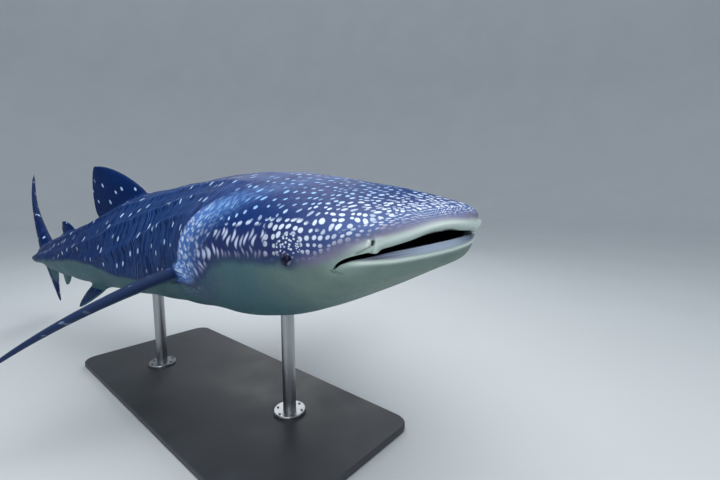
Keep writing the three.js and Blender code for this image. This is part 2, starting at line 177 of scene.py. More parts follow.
def fullness(points):
    """1 on the body's surface, less inside and more outside."""
    back = np.clip(points[:, 0], 5e-4, STALK_END - 5e-4)
    half, top, bottom, keel = section(back)
    power = power_at(back)
    rise = np.abs(points[:, 2]) / np.where(points[:, 2] > 0, top, bottom)
    lean = np.clip(rise ** (power / 2), 0, 1)
    wing = keel * np.sqrt(1 - lean ** 2) * np.exp(-((lean / KEEL_SPREAD) ** 2))
    across = np.maximum(np.abs(points[:, 1]) - wing, 0) / half
    return (across ** power + rise ** power) ** (1 / power)


def slope_of(function, points, step=0.001):
    """Gradient of a function of points, by small steps each way."""
    columns = []
    for axis in range(3):
        shift = np.zeros(3)
        shift[axis] = step
        columns.append((function(points + shift) - function(points - shift)) / (2 * step))
    return np.stack(columns, axis=-1)


def height_over_body(points):
    """Rough distance outside the straight body's surface, below 0 inside it."""
    gradient = np.linalg.norm(slope_of(fullness, points), axis=1)
    beyond = np.maximum(points[:, 0] - STALK_END, 0)
    return np.hypot((fullness(points) - 1) / np.maximum(gradient, 0.5), beyond) * np.where(
        fullness(points) > 1, 1, -1
    )


# The curved spine, from its heading at the middle of each step
_middles = np.arange(0, SPINE_LENGTH, SPINE_STEP) + SPINE_STEP / 2
_steps = SPINE_STEP * np.stack([
    -np.cos(yaw_at(_middles)) * np.cos(rise_at(_middles)),
    np.sin(yaw_at(_middles)) * np.cos(rise_at(_middles)),
    np.sin(rise_at(_middles)),
], axis=-1)
SPINE = np.vstack([np.zeros(3), np.cumsum(_steps, axis=0)])


def place(points, root=None):
    """Carries straight points into the pose; a paired fin follows the spine at its root."""
    back = points[:, 0]
    root = back if root is None else root
    at = np.arange(len(SPINE)) * SPINE_STEP
    origin = np.stack([np.interp(root, at, SPINE[:, axis]) for axis in range(3)], axis=-1)
    yaw, rise = yaw_at(root), rise_at(root)
    roll = math.radians(HEAD_ROLL) * (1 - ease(back, 0, HEAD_ROLL_END))
    left = points[:, 1] * np.cos(roll) - points[:, 2] * np.sin(roll)
    up = points[:, 1] * np.sin(roll) + points[:, 2] * np.cos(roll)
    beyond = (back - root) * np.cos(rise) - up * np.sin(rise)
    placed = origin + np.stack([
        left * np.sin(yaw) - beyond * np.cos(yaw),
        left * np.cos(yaw) + beyond * np.sin(yaw),
        (back - root) * np.sin(rise) + up * np.cos(rise),
    ], axis=-1)
    return placed @ np.array(ATTITUDE).T + np.array(SNOUT_PLACE)


def mesh_object(name, points, faces):
    mesh = bpy.data.meshes.new(name)
    mesh.from_pydata(np.asarray(points).tolist(), [], [list(face) for face in faces])
    piece = bpy.data.objects.new(name, mesh)
    bpy.context.scene.collection.objects.link(piece)
    return piece


def loft(rings):
    """Points and faces of a closed form through rings of equal size, with a fan at each end."""
    count, size, _ = rings.shape
    points = np.vstack([rings.reshape(-1, 3), rings[0].mean(axis=0), rings[-1].mean(axis=0)])
    i, j = np.meshgrid(np.arange(count - 1), np.arange(size), indexing="ij")
    a, b = i * size + j, i * size + (j + 1) % size
    quads = np.stack([a, b, b + size, a + size], axis=-1).reshape(-1, 4)
    around = np.arange(size)
    following = (around + 1) % size
    first, last = count * size, (count - 1) * size
    start_fan = np.stack([np.full(size, first), following, around], axis=-1)
    end_fan = np.stack([np.full(size, first + 1), last + around, last + following], axis=-1)
    return points, quads.tolist() + start_fan.tolist() + end_fan.tolist()


def positions(mesh):
    values = np.empty(len(mesh.vertices) * 3)
    mesh.vertices.foreach_get("co", values)
    return values.reshape(-1, 3)


def set_positions(mesh, points):
    mesh.vertices.foreach_set("co", np.ascontiguousarray(points, float).ravel())
    mesh.update()


def applied(piece, kind, **settings):
    """The piece's mesh after one modifier; the piece itself is removed."""
    modifier = piece.modifiers.new(kind, kind)
    for key, value in settings.items():
        setattr(modifier, key, value)
    shaped = piece.evaluated_get(bpy.context.evaluated_depsgraph_get())
    mesh = bpy.data.meshes.new_from_object(shaped)
    bpy.data.objects.remove(piece)
    return mesh


# Mouth lines on the front of the head, by distance from the middle: the upper lip's edge, the crest
# of the tooth pad on the lower jaw and the pale rim of the lower lip, out to the mouth's reach
MOUTH_REACH = 0.346
lip_edge_at = smooth_curve(
    [0, 0.05, 0.10, 0.15, 0.20, 0.25, 0.29, 0.315, 0.333, 0.346],
    [0.008, 0.006, 0.000, -0.007, -0.013, -0.018, -0.022, -0.028, -0.041, -0.072],
)
pad_crest_at = smooth_curve(
    [0, 0.10, 0.20, 0.26, 0.30, 0.328, 0.346],
    [-0.026, -0.027, -0.031, -0.036, -0.038, -0.047, -0.075],
)
lip_rim_at = smooth_curve(
    [0, 0.10, 0.18, 0.24, 0.30, 0.325, 0.346],
    [-0.059, -0.059, -0.058, -0.053, -0.048, -0.053, -0.078],
)


def front_of_head(left):
    """Distance back of the head's outline in plan, at a distance from the middle line."""
    back = np.linspace(0, 0.35, 800)
    return np.interp(np.abs(left), section(back)[0], back)


def mouth_hollow():
    """The closed form that the mouth takes out of the head, from before the lips inwards."""
    across = np.sin(np.linspace(-1, 1, 121) * math.pi / 2) * MOUTH_REACH
    inward = np.array([-0.10, 0, 0.04, 0.09, 0.16, 0.25, 0.38, 0.55, 0.75, 0.9, 1.0])
    centre = np.array([0.46, 0.0])
    front = np.stack([front_of_head(across), across], axis=-1)
    reach = 0.46
    rings = []
    for edge, left in zip(front, across):
        plan = edge + np.outer(inward * reach, centre - edge)
        travelled = np.linalg.norm(plan - edge, axis=1) * np.sign(inward)
        corner = ease(MOUTH_REACH - abs(left), 0, 0.03)
        dome = np.sqrt(np.clip(1 - inward ** 4, 0, 1))
        roof = lip_edge_at(abs(left)) + 0.030 * ease(travelled, 0.012, 0.06) * corner
        floor = pad_crest_at(abs(left)) - 0.045 * ease(travelled, 0.028, 0.075) * corner
        middle = (roof + floor) / 2
        spread = np.maximum((roof - floor) / 2 * dome, 0.0012)
        upper = np.column_stack([plan, middle + spread])
        lower = np.column_stack([plan, middle - spread])[::-1]
        rings.append(np.vstack([upper, lower]))
    return loft(np.array(rings))


# Fins
NACA = (0.2969, -0.126, -0.3516, 0.2843, -0.1036)
CHORD_STEPS = 40
FIN_EDGE = 0.009


def section_half(c):
    """Half thickness of a streamlined section at a fraction of its chord."""
    a, b, d, e, f = NACA
    return 5 * (a * np.sqrt(c) + b * c + d * c ** 2 + e * c ** 3 + f * c ** 4)


def curve(*points):
    """A cubic curve by its four points."""
    a, b, c, d = (np.array(point, float) for point in points)

    def at(t):
        t = np.asarray(t, float)[..., None]
        return a * (1 - t) ** 3 + 3 * b * t * (1 - t) ** 2 + 3 * c * t * t * (1 - t) + d * t ** 3

    return at


def fin_blade(leading, trailing, thickness, spans=90):
    """Rings of a blade between a leading and a trailing edge, which meet at the tip."""
    t = np.sin(np.arange(spans) / spans * math.pi / 2) ** 1.2
    front = leading(t)
    chord = trailing(t) - front
    along = leading(np.minimum(t + 0.02, 1)) - leading(np.maximum(t - 0.02, 0))
    normal = np.cross(along, chord)
    normal /= np.linalg.norm(normal, axis=1)[:, None]
    full = np.polyval(thickness, 1 - t)
    full = np.minimum(full, np.linalg.norm(chord, axis=1) * 0.4)
    edge = np.minimum(FIN_EDGE, full / 2)
    c = (1 - np.cos(np.arange(CHORD_STEPS + 1) / CHORD_STEPS * math.pi)) / 2
    offset = full[:, None] * section_half(c) + edge[:, None] * c / 2
    flat = front[:, None] + chord[:, None] * c[:, None]
    upper = flat + normal[:, None] * offset[..., None]
    lower = flat - normal[:, None] * offset[..., None]
    return np.concatenate([upper, lower[:, :0:-1]], axis=1)


# Fins drawn by four points of each edge; the thickness, in powers of the way from the tip, highest
# first; and the steps from root to tip
FIRST_DORSAL = (((2.33, 0, 0.30), (2.48, 0, 0.50), (2.69, 0, 0.64), (2.90, 0, 0.655)),
                ((2.96, 0, 0.19), (3.06, 0, 0.33), (2.95, 0, 0.64), (2.90, 0, 0.655)),
                (0.066, 0.016), 90)
SECOND_DORSAL = (((3.29, 0, 0.13), (3.39, 0, 0.235), (3.47, 0, 0.285), (3.56, 0, 0.288)),
                 ((3.57, 0, 0.10), (3.68, 0, 0.19), (3.57, 0, 0.28), (3.56, 0, 0.288)),
                 (0.034, 0.010), 90)
ANAL_FIN = (((3.60, 0, -0.11), (3.70, 0, -0.225), (3.76, 0, -0.275), (3.85, 0, -0.29)),
            ((3.84, 0, -0.07), (3.91, 0, -0.18), (3.86, 0, -0.28), (3.85, 0, -0.29)),
            (0.032, 0.010), 90)
CAUDAL_UPPER = (((4.09, 0, -0.01), (4.26, 0, 0.26), (4.96, 0, 0.63), (5.40, 0, 0.90)),
                ((4.61, 0, 0.02), (4.70, 0, 0.22), (5.08, 0, 0.52), (5.40, 0, 0.90)),
                (0.090, 0.034, 0.014), 140)
CAUDAL_LOWER = (((4.09, 0, 0.01), (4.23, 0, -0.26), (4.47, 0, -0.44), (4.74, 0, -0.56)),
                ((4.61, 0, 0.04), (4.58, 0, -0.13), (4.61, 0, -0.33), (4.74, 0, -0.56)),
                (0.090, 0.030, 0.014), 90)
PELVIC_FIN = (((2.70, 0.11, -0.17), (2.79, 0.22, -0.27), (2.86, 0.27, -0.32), (2.95, 0.30, -0.35)),
              ((2.96, 0.08, -0.14), (3.03, 0.17, -0.25), (2.99, 0.28, -0.335), (2.95, 0.30, -0.35)),
              (0.040, 0.010), 90)


def drawn_fin(fin, side=1):
    leading, trailing, thickness, spans = fin
    edges = [curve(*(np.array(edge) * (1, side, 1))) for edge in (leading, trailing)]
    return fin_blade(*edges, thickness, spans)


PECTORAL_BACK = 1.450
PECTORAL_LEFT = 0.514
PECTORAL_UP = -0.062
PECTORAL_INSET = 0.110
PECTORAL_LENGTH = 1.080
PECTORAL_CHORD = 0.450
PECTORAL_SWEEP = np.radians((31, 51))
PECTORAL_DROOP = np.radians((11.5, 25))
PECTORAL_PITCH = math.radians(13)
PECTORAL_REARWARD = np.array([math.cos(PECTORAL_PITCH), 0, -math.sin(PECTORAL_PITCH)])
PECTORAL_STEPS = 60
PELVIC_BACK = 2.700


def pectoral_leading(side):
    def direction(t):
        sweep = PECTORAL_SWEEP[0] + (PECTORAL_SWEEP[1] - PECTORAL_SWEEP[0]) * t
        droop = PECTORAL_DROOP[0] + (PECTORAL_DROOP[1] - PECTORAL_DROOP[0]) * t
        return np.stack([
            np.sin(sweep) * np.cos(droop),
            side * np.cos(sweep) * np.cos(droop),
            -np.sin(droop),
        ], axis=-1)

    start = np.array([PECTORAL_BACK, side * PECTORAL_LEFT, PECTORAL_UP])
    start = start - direction(np.array(0.0)) * PECTORAL_INSET

    def leading(t):
        reach = np.asarray(t, float) * (PECTORAL_LENGTH + PECTORAL_INSET)
        point = np.tile(start, (len(reach), 1))
        for i in range(PECTORAL_STEPS):
            travelled = (i + 0.5) / PECTORAL_STEPS * reach - PECTORAL_INSET
            turn = np.clip(travelled / PECTORAL_LENGTH, 0, 1)
            point = point + direction(turn) * (reach / PECTORAL_STEPS)[:, None]
        return point

    return leading


def pectoral_width(t):
    return PECTORAL_CHORD * (1 - t) ** 0.85 * (1 + 0.25 * t * (1 - t)) + 0.006


def pectoral(side):
    leading = pectoral_leading(side)

    def trailing(t):
        return leading(t) + pectoral_width(t)[:, None] * PECTORAL_REARWARD

    return fin_blade(leading, trailing, (0.062, 0.016), 140)


# The skin: all of the flesh is fused into one fine mesh, finest at the head
FINENESS = smooth_curve([-0.1, 0.10, 0.45, 0.90, 1.60, 5.6], [3.0, 3.0, 2.0, 1.35, 1.0, 1.0])
VOXEL = 0.0074
_backs = np.linspace(-0.1, SPINE_LENGTH, 4000)
_stretched = np.concatenate([[0], np.cumsum(np.diff(_backs) * FINENESS((_backs[1:] + _backs[:-1]) / 2))])


def magnified(points):
    """The straight animal with its head enlarged, so that equal steps are finest there."""
    scale = FINENESS(points[:, 0])
    back = np.interp(points[:, 0], _backs, _stretched)
    return np.column_stack([back, points[:, 1] * scale, points[:, 2] * scale])


def restored(points):
    back = np.interp(points[:, 0], _stretched, _backs)
    scale = FINENESS(back)
    return np.column_stack([back, points[:, 1] / scale, points[:, 2] / scale])


def straight_body():
    """Rings of the straight body, crowded at the snout and at the rounded end of the stalk."""
    snout = 0.30 * (np.arange(1, 81) / 80) ** 2.4
    trunk = np.linspace(0.30, STALK_END - 0.26, 380)[1:]
    stalk = STALK_END - 0.26 * (1 - np.arange(1, 31) / 31) ** 1.8
    backs = np.concatenate([snout, trunk, stalk])
    angles = np.arange(360) / 360 * 2 * math.pi
    return body_point(backs[:, None], angles[None, :])


def fused_mesh():
    body = mesh_object("straight_body", *loft(straight_body()))
    hollow = mesh_object("mouth_hollow", *mouth_hollow())
    face_out(body.data)
    face_out(hollow.data)
    mesh = applied(body, "BOOLEAN", operation="DIFFERENCE", solver="EXACT", object=hollow)
    bpy.data.objects.remove(hollow)
    joined = bmesh.new()
    joined.from_mesh(mesh)
    upright = [drawn_fin(fin) for fin in (FIRST_DORSAL, SECOND_DORSAL, ANAL_FIN, CAUDAL_UPPER, CAUDAL_LOWER)]
    paired = [pectoral(1), pectoral(-1), drawn_fin(PELVIC_FIN, 1), drawn_fin(PELVIC_FIN, -1)]
    for rings in upright + paired:
        blade = mesh_object("blade", *loft(rings))
        face_out(blade.data)
        joined.from_mesh(blade.data)
        bpy.data.objects.remove(blade)
    joined.to_mesh(mesh)
    joined.free()
    set_positions(mesh, magnified(positions(mesh)))
    piece = bpy.data.objects.new("whole", mesh)
    bpy.context.scene.collection.objects.link(piece)
    voxel = VOXEL
    mesh = applied(piece, "REMESH", mode="VOXEL", voxel_size=voxel, use_smooth_shade=True)
    set_positions(mesh, restored(positions(mesh)))
    drop_specks(mesh)
    return mesh


def drop_specks(mesh):
    """Keeps what hangs together with the snout, as the thinnest tips leave loose specks behind."""
    shape = bmesh.new()
    shape.from_mesh(mesh)
    reached = [min(shape.verts, key=lambda vertex: vertex.co.x)]
    reached[0].tag = True
    for vertex in reached:
        for edge in vertex.link_edges:
            other = edge.other_vert(vertex)
            if not other.tag:
                other.tag = True
                reached.append(other)
    loose = [vertex for vertex in shape.verts if not vertex.tag]
    bmesh.ops.delete(shape, geom=loose, context="VERTS")
    shape.to_mesh(mesh)
    shape.free()


def face_out(mesh):
    shape = bmesh.new()
    shape.from_mesh(mesh)
    bmesh.ops.recalc_face_normals(shape, faces=shape.faces)
    shape.to_mesh(mesh)
    shape.free()


def links_of(mesh):
    """Pairs of neighbouring vertices, and how many neighbours each has."""
    pairs = np.empty(len(mesh.edges) * 2, np.int64)
    mesh.edges.foreach_get("vertices", pairs)
    pairs = pairs.reshape(-1, 2)
    return pairs, np.bincount(pairs.ravel(), minlength=len(mesh.vertices))


def averaged(values, links):
    """Each vertex's mean over its neighbours."""
    pairs, count = links
    columns = values.reshape(len(count), -1)
    means = []
    for column in columns.T:
        ahead = np.bincount(pairs[:, 0], weights=column[pairs[:, 1]], minlength=len(count))
        behind = np.bincount(pairs[:, 1], weights=column[pairs[:, 0]], minlength=len(count))
        means.append((ahead + behind) / count)
    return np.stack(means, axis=-1).reshape(values.shape)


def smoothed_form(points, links):
    """Takes off the fine steps, rounds the roots of the fins and fits the rest to the true body."""
    for _ in range(3):
        points = points + 0.50 * (averaged(points, links) - points)
        points = points - 0.53 * (averaged(points, links) - points)
    fin = ease(height_over_body(points), 0.004, 0.011)
    for _ in range(30):
        fin = averaged(fin, links)
    stalk_root = 0.8 * ease(points[:, 0], 4.08, 4.20) * (1 - ease(points[:, 0], 4.38, 4.48))
    root = np.maximum(4 * fin * (1 - fin), stalk_root)[:, None]
    for _ in range(30):
        points = points + 0.9 * root * (averaged(points, links) - points)
    on_body = 1 - ease(np.abs(height_over_body(points)), 0.004, 0.009)
    fit = on_body * (1 - ease(fin, 0.0, 0.05)) * ease(points[:, 0], 0.02, 0.06)
    fit = fit * (1 - ease(points[:, 0], 3.95, 4.08))
    for _ in range(2):
        gradient = slope_of(fullness, points)
        step = (fullness(points) - 1) / (gradient ** 2).sum(axis=1)
        points = points - (fit * step)[:, None] * gradient
    return points


# Places on the head, on the right side (left < 0); the left side mirrors them
NOSTRIL = np.array([0.061, -0.248, 0.010])
NOSTRIL_FURROW_END = np.array([0.090, -0.289, -0.017])
SPIRACLE = np.array([0.452, -0.398, -0.006])
CORNER_CREASE = (np.array([0.164, -0.339, -0.064]), np.array([0.134, -0.317, -0.078]))


def mirrored(spot, side):
    """The same spot on the left side (1) or the right side (-1)."""
    return spot * np.array([1, -side, 1])


def eye_centre(side):
    return np.array([EYE_BACK, side * (half_at(EYE_BACK) - EYE_INSET), EYE_UP])


def refined(mesh):
    """Splits the mesh finer round the eyes, the nostrils and the corners of the mouth."""
    zones = []
    for side in (1, -1):
        zones.append((eye_centre(side), 0.056, 1))
        zones.append((eye_centre(side), 0.040, 2))
        zones.append((mirrored(NOSTRIL, side), 0.045, 1))
        zones.append((mirrored(NOSTRIL, side), 0.032, 2))
        zones.append((mirrored(CORNER_CREASE[0], side), 0.050, 1))
    shape = bmesh.new()
    shape.from_mesh(mesh)
    for level in (1, 2):
        spots = [(Vector(centre), reach) for centre, reach, at in zones if at == level]
        chosen = []
        for edge in shape.edges:
            if edge.verts[0].co.x > EYE_BACK + 0.08:
                continue
            middle = (edge.verts[0].co + edge.verts[1].co) / 2
            if any((middle - centre).length < reach for centre, reach in spots):
                chosen.append(edge)
        bmesh.ops.subdivide_edges(shape, edges=chosen, cuts=1, use_grid_fill=True)
    shape.to_mesh(mesh)
    shape.free()


def along_segment(points, start, end):
    """Distance from a segment, and how far along it from 0 to 1."""
    line = end - start
    t = np.clip((points - start) @ line / (line @ line), 0, 1)
    return np.linalg.norm(points - start - t[:, None] * line, axis=1), t


def out_of_outline(points):
    """Level direction out of the head's outline in plan."""
    reach = np.clip(np.abs(points[:, 1]), 0, MOUTH_REACH)
    step = 0.002
    lean = (front_of_head(reach + step) - front_of_head(np.maximum(reach - step, 0))) / (2 * step)
    out = np.stack([-np.ones(len(points)), lean * np.sign(points[:, 1]), np.zeros(len(points))], axis=-1)
    return out / np.linalg.norm(out, axis=1)[:, None]


def over_the_slot(points):
    """True above the middle of the mouth's opening."""
    reach = np.abs(points[:, 1])
    return points[:, 2] > (lip_edge_at(reach) + pad_crest_at(reach)) / 2


def mouth_relief(points, depth):
    """Lips, tooth pad and the folds beside them, as a height out of the head's outline."""
    reach = np.abs(points[:, 1])
    up = points[:, 2]
    edge, crest, rim = lip_edge_at(reach), pad_crest_at(reach), lip_rim_at(reach)
    front = 1 - ease(points[:, 0], 0.13, 0.19)
    near_corner = 1 - ease(reach, 0.25, 0.335)
    turned_in = -0.019 * (1 - ease(up, edge, edge + 0.022)) * (1 - ease(reach, 0.20, 0.31))
    lip = 0.0075 * hump(up, edge + 0.026, 0.016) * (1 - ease(reach, 0.26, 0.33)) + turned_in
    brow = 0.014 * hump(reach, 0.25, 0.06) * hump(up, 0.045, 0.036)
    pad = -0.012 * ease(up, rim + 0.006, crest) * near_corner
    lower_lip = 0.0060 * hump(up, rim, 0.008) * near_corner - 0.0035 * hump(up, rim - 0.021, 0.010)
    set_back = -0.012 * ease(reach, 0.02, 0.16) * near_corner * ease(up, -0.15, -0.08)
    outer = 1 - ease(depth, 0.004, 0.040)
    upper = lip + brow + nostril_relief(points)
    return front * outer * np.where(over_the_slot(points), upper, pad + lower_lip + set_back)


def nostril_place(points):
    """Height over the nostril, and distance behind its slit towards the side of the head."""
    level = points[:, 2] - NOSTRIL[2]
    return level, np.abs(points[:, 1]) + NOSTRIL[1] - 0.30 * np.maximum(-level, 0)


def nostril_parts(points):
    """The slit, the raised rim behind it and the furrow that runs on to the slot, each from 0 to 1."""
    level, behind = nostril_place(points)
    slit = hump(behind, 0.0, 0.0034) * ease(level, -0.012, -0.005) * (1 - ease(level, 0.002, 0.009))
    rim = hump(behind, 0.0100, 0.0046) * ease(level, -0.020, -0.010) * (1 - ease(level, 0.004, 0.014))
    right = np.column_stack([points[:, 0], -np.abs(points[:, 1]), points[:, 2]])
    beside, t = along_segment(right, NOSTRIL + np.array([0.005, -0.008, -0.012]), NOSTRIL_FURROW_END)
    return slit, rim, (1 - 0.5 * t) * hump(beside, 0, 0.0036)


def nostril_relief(points):
    """The nostril, with a flap of the lip before it."""
    slit, rim, furrow = nostril_parts(points)
    level, behind = nostril_place(points)
    flap = ease(behind, -0.042, -0.010) * (1 - ease(behind, -0.0060, -0.0015))
    flap = 0.0100 * flap * ease(level, -0.040, -0.024) * (1 - ease(level, 0.004, 0.022))
    return flap - 0.016 * slit + 0.0055 * rim - 0.0080 * furrow


def flap_tip(points):
    """How far the lip hangs down before each nostril."""
    reach = np.abs(points[:, 1])
    edge = lip_edge_at(reach)
    hang = hump(reach + NOSTRIL[1], -0.007, 0.011) * (1 - ease(points[:, 2], edge, edge + 0.024))
    return 0.008 * hang * over_the_slot(points) * (points[:, 0] < 0.13)


def small_relief(points):
    height = np.zeros(len(points))
    for side in (1, -1):
        beside, t = along_segment(points, *(mirrored(end, side) for end in CORNER_CREASE))
        height -= (0.0100 - 0.008 * t) * hump(beside, 0, 0.0046)
        away = np.linalg.norm(points - mirrored(SPIRACLE, side), axis=1)
        height += 0.0015 * hump(away, 0.012, 0.005) - 0.008 * (1 - ease(away, 0.002, 0.009))
    return height


# Longitudinal ridges on each side: distance back and angle above the widest line, in degrees
RIDGES = (
    ((1.15, 34), (1.72, 25.2), (2.17, 10.5), (2.51, 1.5), (3.0, 0), (4.3, 0)),
    ((1.05, 56), (1.37, 49.4), (1.77, 41.4), (2.29, 28.6), (2.5, 21.2), (3.2, 13), (4.1, 9)),
    ((0.90, 71), (1.40, 66), (2.00, 57), (2.90, 45), (3.70, 40)),
)
RIDGE_HEIGHT = 0.013


def angle_up(points):
    """Angle round the section: 0 on the widest line, a right angle on the back."""
    back = np.clip(points[:, 0], 5e-4, STALK_END - 5e-4)
    _, top, bottom, _ = section(back)
    rise = np.abs(points[:, 2]) / np.where(points[:, 2] > 0, top, bottom)
    lean = np.clip(rise ** (power_at(back) / 2), 0, 1)
    return np.sign(points[:, 2]) * np.arcsin(lean)


def ridge_relief(points):
    back = points[:, 0]
    around = np.hypot(points[:, 1], points[:, 2])
    angle = angle_up(points)
    height = 0.009 * hump((math.pi / 2 - angle) * around, 0, 0.028) * ease(back, 0.7, 1.3)
    for ridge in RIDGES:
        starts, ends = ridge[0][0], ridge[-1][0]
        line = smooth_curve([back for back, _ in ridge], [math.radians(turn) for _, turn in ridge])
        fade = ease(back, starts, starts + 0.45) * (1 - ease(back, ends - 0.6, ends))
        height += RIDGE_HEIGHT * fade * hump((angle - line(back)) * around, 0, 0.024)
    return height


# Gill slits: distance back at the widest line, lowest and highest end
GILLS = ((0.985, -0.17, 0.19), (1.085, -0.18, 0.20), (1.185, -0.17, 0.19), (1.285, -0.13, 0.17),
         (1.385, -0.05, 0.15))
GILL_LEAN = 0.55


def gill_lines(points):
    """Distance behind each gill slit and how far the slit is open at that height."""
    for back, low, high in GILLS:
        line = back - GILL_LEAN * (points[:, 2] - 0.02) - 1.6 * (points[:, 2] - 0.02) ** 2
        length = ease(points[:, 2], low, low + 0.07) * (1 - ease(points[:, 2], high - 0.07, high))
        yield points[:, 0] - line, length


def gill_relief(points):
    height = np.zeros(len(points))
    for behind, length in gill_lines(points):
        flap = np.where(behind < 0, 0.010 * hump(behind, -0.016, 0.026), 0.010 * hump(0, -0.016, 0.026)
                        * (1 - ease(behind, 0, 0.008)))
        slit = -0.013 * hump(behind, 0.006, 0.008)
        height += length * (flap + slit)
    return height


def stalk_relief(points):
    """The pit before the upper tail lobe, and soft swells of muscle along the trunk."""
    back, up = points[:, 0], points[:, 2]
    pit = -0.010 * hump(back, 4.06, 0.030) * ease(up, 0.05, 0.10)
    swell = 0.0030 * np.sin(back * 19 + 3 * up) * ease(back, 1.5, 2.0) * (1 - ease(back, 3.6, 4.2))
    return pit + swell


def eye_ring(back, up):
    """Distance from the eye's middle, scaled so that the opening is round, and the turn about it."""
    ahead = back + EYE_FORWARD
    return np.hypot(ahead / EYE_WIDTH, up / EYE_HEIGHT), np.arctan2(up, ahead)


def set_eyes_in(points):
    """Draws the skin round each eyeball into a soft lid, and tucks the rest behind the ball."""
    points = points.copy()
    for side in (1, -1):
        centre = eye_centre(side)
        near = np.linalg.norm(points - centre, axis=1) < 0.075
        aside = points[near] - centre
        ring, turn = eye_ring(aside[:, 0], aside[:, 2])
        tall = 0.0115 * np.sin(turn) ** 2 + 0.0045 * np.maximum(np.cos(turn), 0) ** 2
        lid = tall * hump(ring, 0.0178, 0.0064) + 0.0012 * hump(ring, 0.037, 0.005)
        fold = -0.0028 * hump(ring, 0.0302, 0.0036) * (0.6 + 0.4 * np.sin(turn))
        outward = aside[:, 1] * side + lid + fold
        sunk = 1 - ease(ring, EYE_OPENING - 0.0006, EYE_OPENING + 0.0022)
        outward = outward * (1 - sunk) + sunk * -0.006
        aside[:, 1] = outward * side
        points[near] = centre + aside
    return points


def shaped_skin():
    """The finished straight skin: its mesh, its plain form's points and its points with all relief."""
    mesh = fused_mesh()
    plain = smoothed_form(positions(mesh), links_of(mesh))
    set_positions(mesh, plain)
    refined(mesh)
    plain = positions(mesh)
    links = links_of(mesh)
    normal = np.empty(len(mesh.vertices) * 3)
    mesh.vertices.foreach_get("normal", normal)
    normal = averaged(averaged(normal.reshape(-1, 3), links), links)
    normal /= np.maximum(np.linalg.norm(normal, axis=1), 1e-9)[:, None]
    over = height_over_body(plain)
    skin = (1 - ease(np.abs(over), 0.010, 0.030)) * (1 - ease(plain[:, 0], 4.10, 4.25))
    height = skin * (ridge_relief(plain) + gill_relief(plain) + stalk_relief(plain))
    height += small_relief(plain)
    shaped = plain + normal * height[:, None]
    shaped = shaped + out_of_outline(plain) * mouth_relief(plain, -over)[:, None]
    shaped[:, 2] -= flap_tip(plain)
    shaped = set_eyes_in(shaped)
    return mesh, plain, shaped, normal, over


def ride_root(points, over):
    """Where on the spine each point hangs: paired fins move stiffly with their roots."""
    back = points[:, 0]
    aside = np.abs(points[:, 1])
    outside = ease(over, 0.0, 0.12)
    pectoral_part = outside * (back > 1.2) * (back < 2.75) * (aside > 0.25) * (points[:, 2] < 0.15)
    pelvic_part = outside * (back >= 2.6) * (back < 3.2) * (aside > 0.05) * (points[:, 2] < -0.05)
    pelvic_part = pelvic_part * (pectoral_part == 0)
    return back + (PECTORAL_BACK - back) * pectoral_part + (PELVIC_BACK - back) * pelvic_part


# Markings: what the skin's shader reads at each point of the skin
# Height of the border between the dark back and the pale underside, by distance back
BORDER = np.array([
    (0.000, 0.042), (0.016, 0.040), (0.026, 0.038), (0.041, 0.034), (0.056, 0.028), (0.075, 0.016),
    (0.100, 0.004), (0.122, -0.002), (0.144, -0.009), (0.168, -0.015),
    (0.19, -0.019), (0.24, -0.027), (0.30, -0.030), (0.34, -0.029), (0.41, -0.020), (0.48, -0.014),
    (0.61, -0.006), (0.75, -0.001), (0.87, -0.012), (0.95, -0.035), (1.04, -0.078), (1.15, -0.110),
    (1.30, -0.140), (1.46, -0.165), (1.60, -0.160), (2.00, -0.142),
    (2.19, -0.150), (2.42, -0.114), (2.56, -0.070), (2.70, -0.028), (3.00, 0.002), (3.59, 0.004),
    (4.10, 0.000), (4.34, -0.300), (5.60, -2.000),
])
# Distance between neighbouring spots on the side of the head
SPOT_SPACING = np.array([
    (0.00, 0.0165), (0.10, 0.0185), (0.20, 0.0235), (0.35, 0.0320), (0.60, 0.0430), (1.00, 0.0560),
    (1.40, 0.0640), (5.60, 0.0760),
])
# Spots on the back grow with the distance from a point before the snout, and stay alike on the trunk
SPOT_FAN_START = 0.27
SPOT_FAN_END = 1.25
SPOT_GROWTH = 0.063
TRUNK_SPACING = 0.082
# Distance from the middle of the back to the height of the snout tip, at the root of the tail fin
TAIL_BACK_ARC = 0.13
border_at = smooth_curve(BORDER[:, 0], BORDER[:, 1])
spacing_at = smooth_curve(SPOT_SPACING[:, 0], SPOT_SPACING[:, 1])
ARC_ANGLES = np.linspace(math.pi / 2, -math.pi / 2, 121)


def arc_from_back(points):
    """Distance round the section from the middle of the back, and the whole half way round."""
    backs = np.linspace(0.004, STALK_END - 0.01, 500)
    rings = body_point(backs[:, None], ARC_ANGLES[None, :])
    lengths = np.linalg.norm(np.diff(rings, axis=1), axis=2)
    table = np.concatenate([np.zeros((len(backs), 1)), np.cumsum(lengths, axis=1)], axis=1)
    along = np.clip((points[:, 0] - backs[0]) / (backs[1] - backs[0]), 0, len(backs) - 1.001)
    turn = (math.pi / 2 - angle_up(points)) / math.pi * (len(ARC_ANGLES) - 1)
    turn = np.clip(turn, 0, len(ARC_ANGLES) - 1.001)
    i, j = along.astype(int), turn.astype(int)
    a, b = along - i, turn - j
    low = table[i, j] * (1 - b) + table[i, j + 1] * b
    high = table[i + 1, j] * (1 - b) + table[i + 1, j + 1] * b
    return low * (1 - a) + high * a, table[i, -1] * (1 - a) + table[i + 1, -1] * a


def along_spots(back):
    """Distance round the outline in plan from the snout's middle, counted in spots of the head's side."""
    backs = SPINE_LENGTH * np.linspace(0, 1, 6000) ** 2
    middle = (backs[1:] + backs[:-1]) / 2
    steps = np.hypot(np.diff(backs), np.diff(section(backs)[0]))
    counted = np.concatenate([[0], np.cumsum(steps / spacing_at(middle))])
    return np.interp(back, backs, counted)


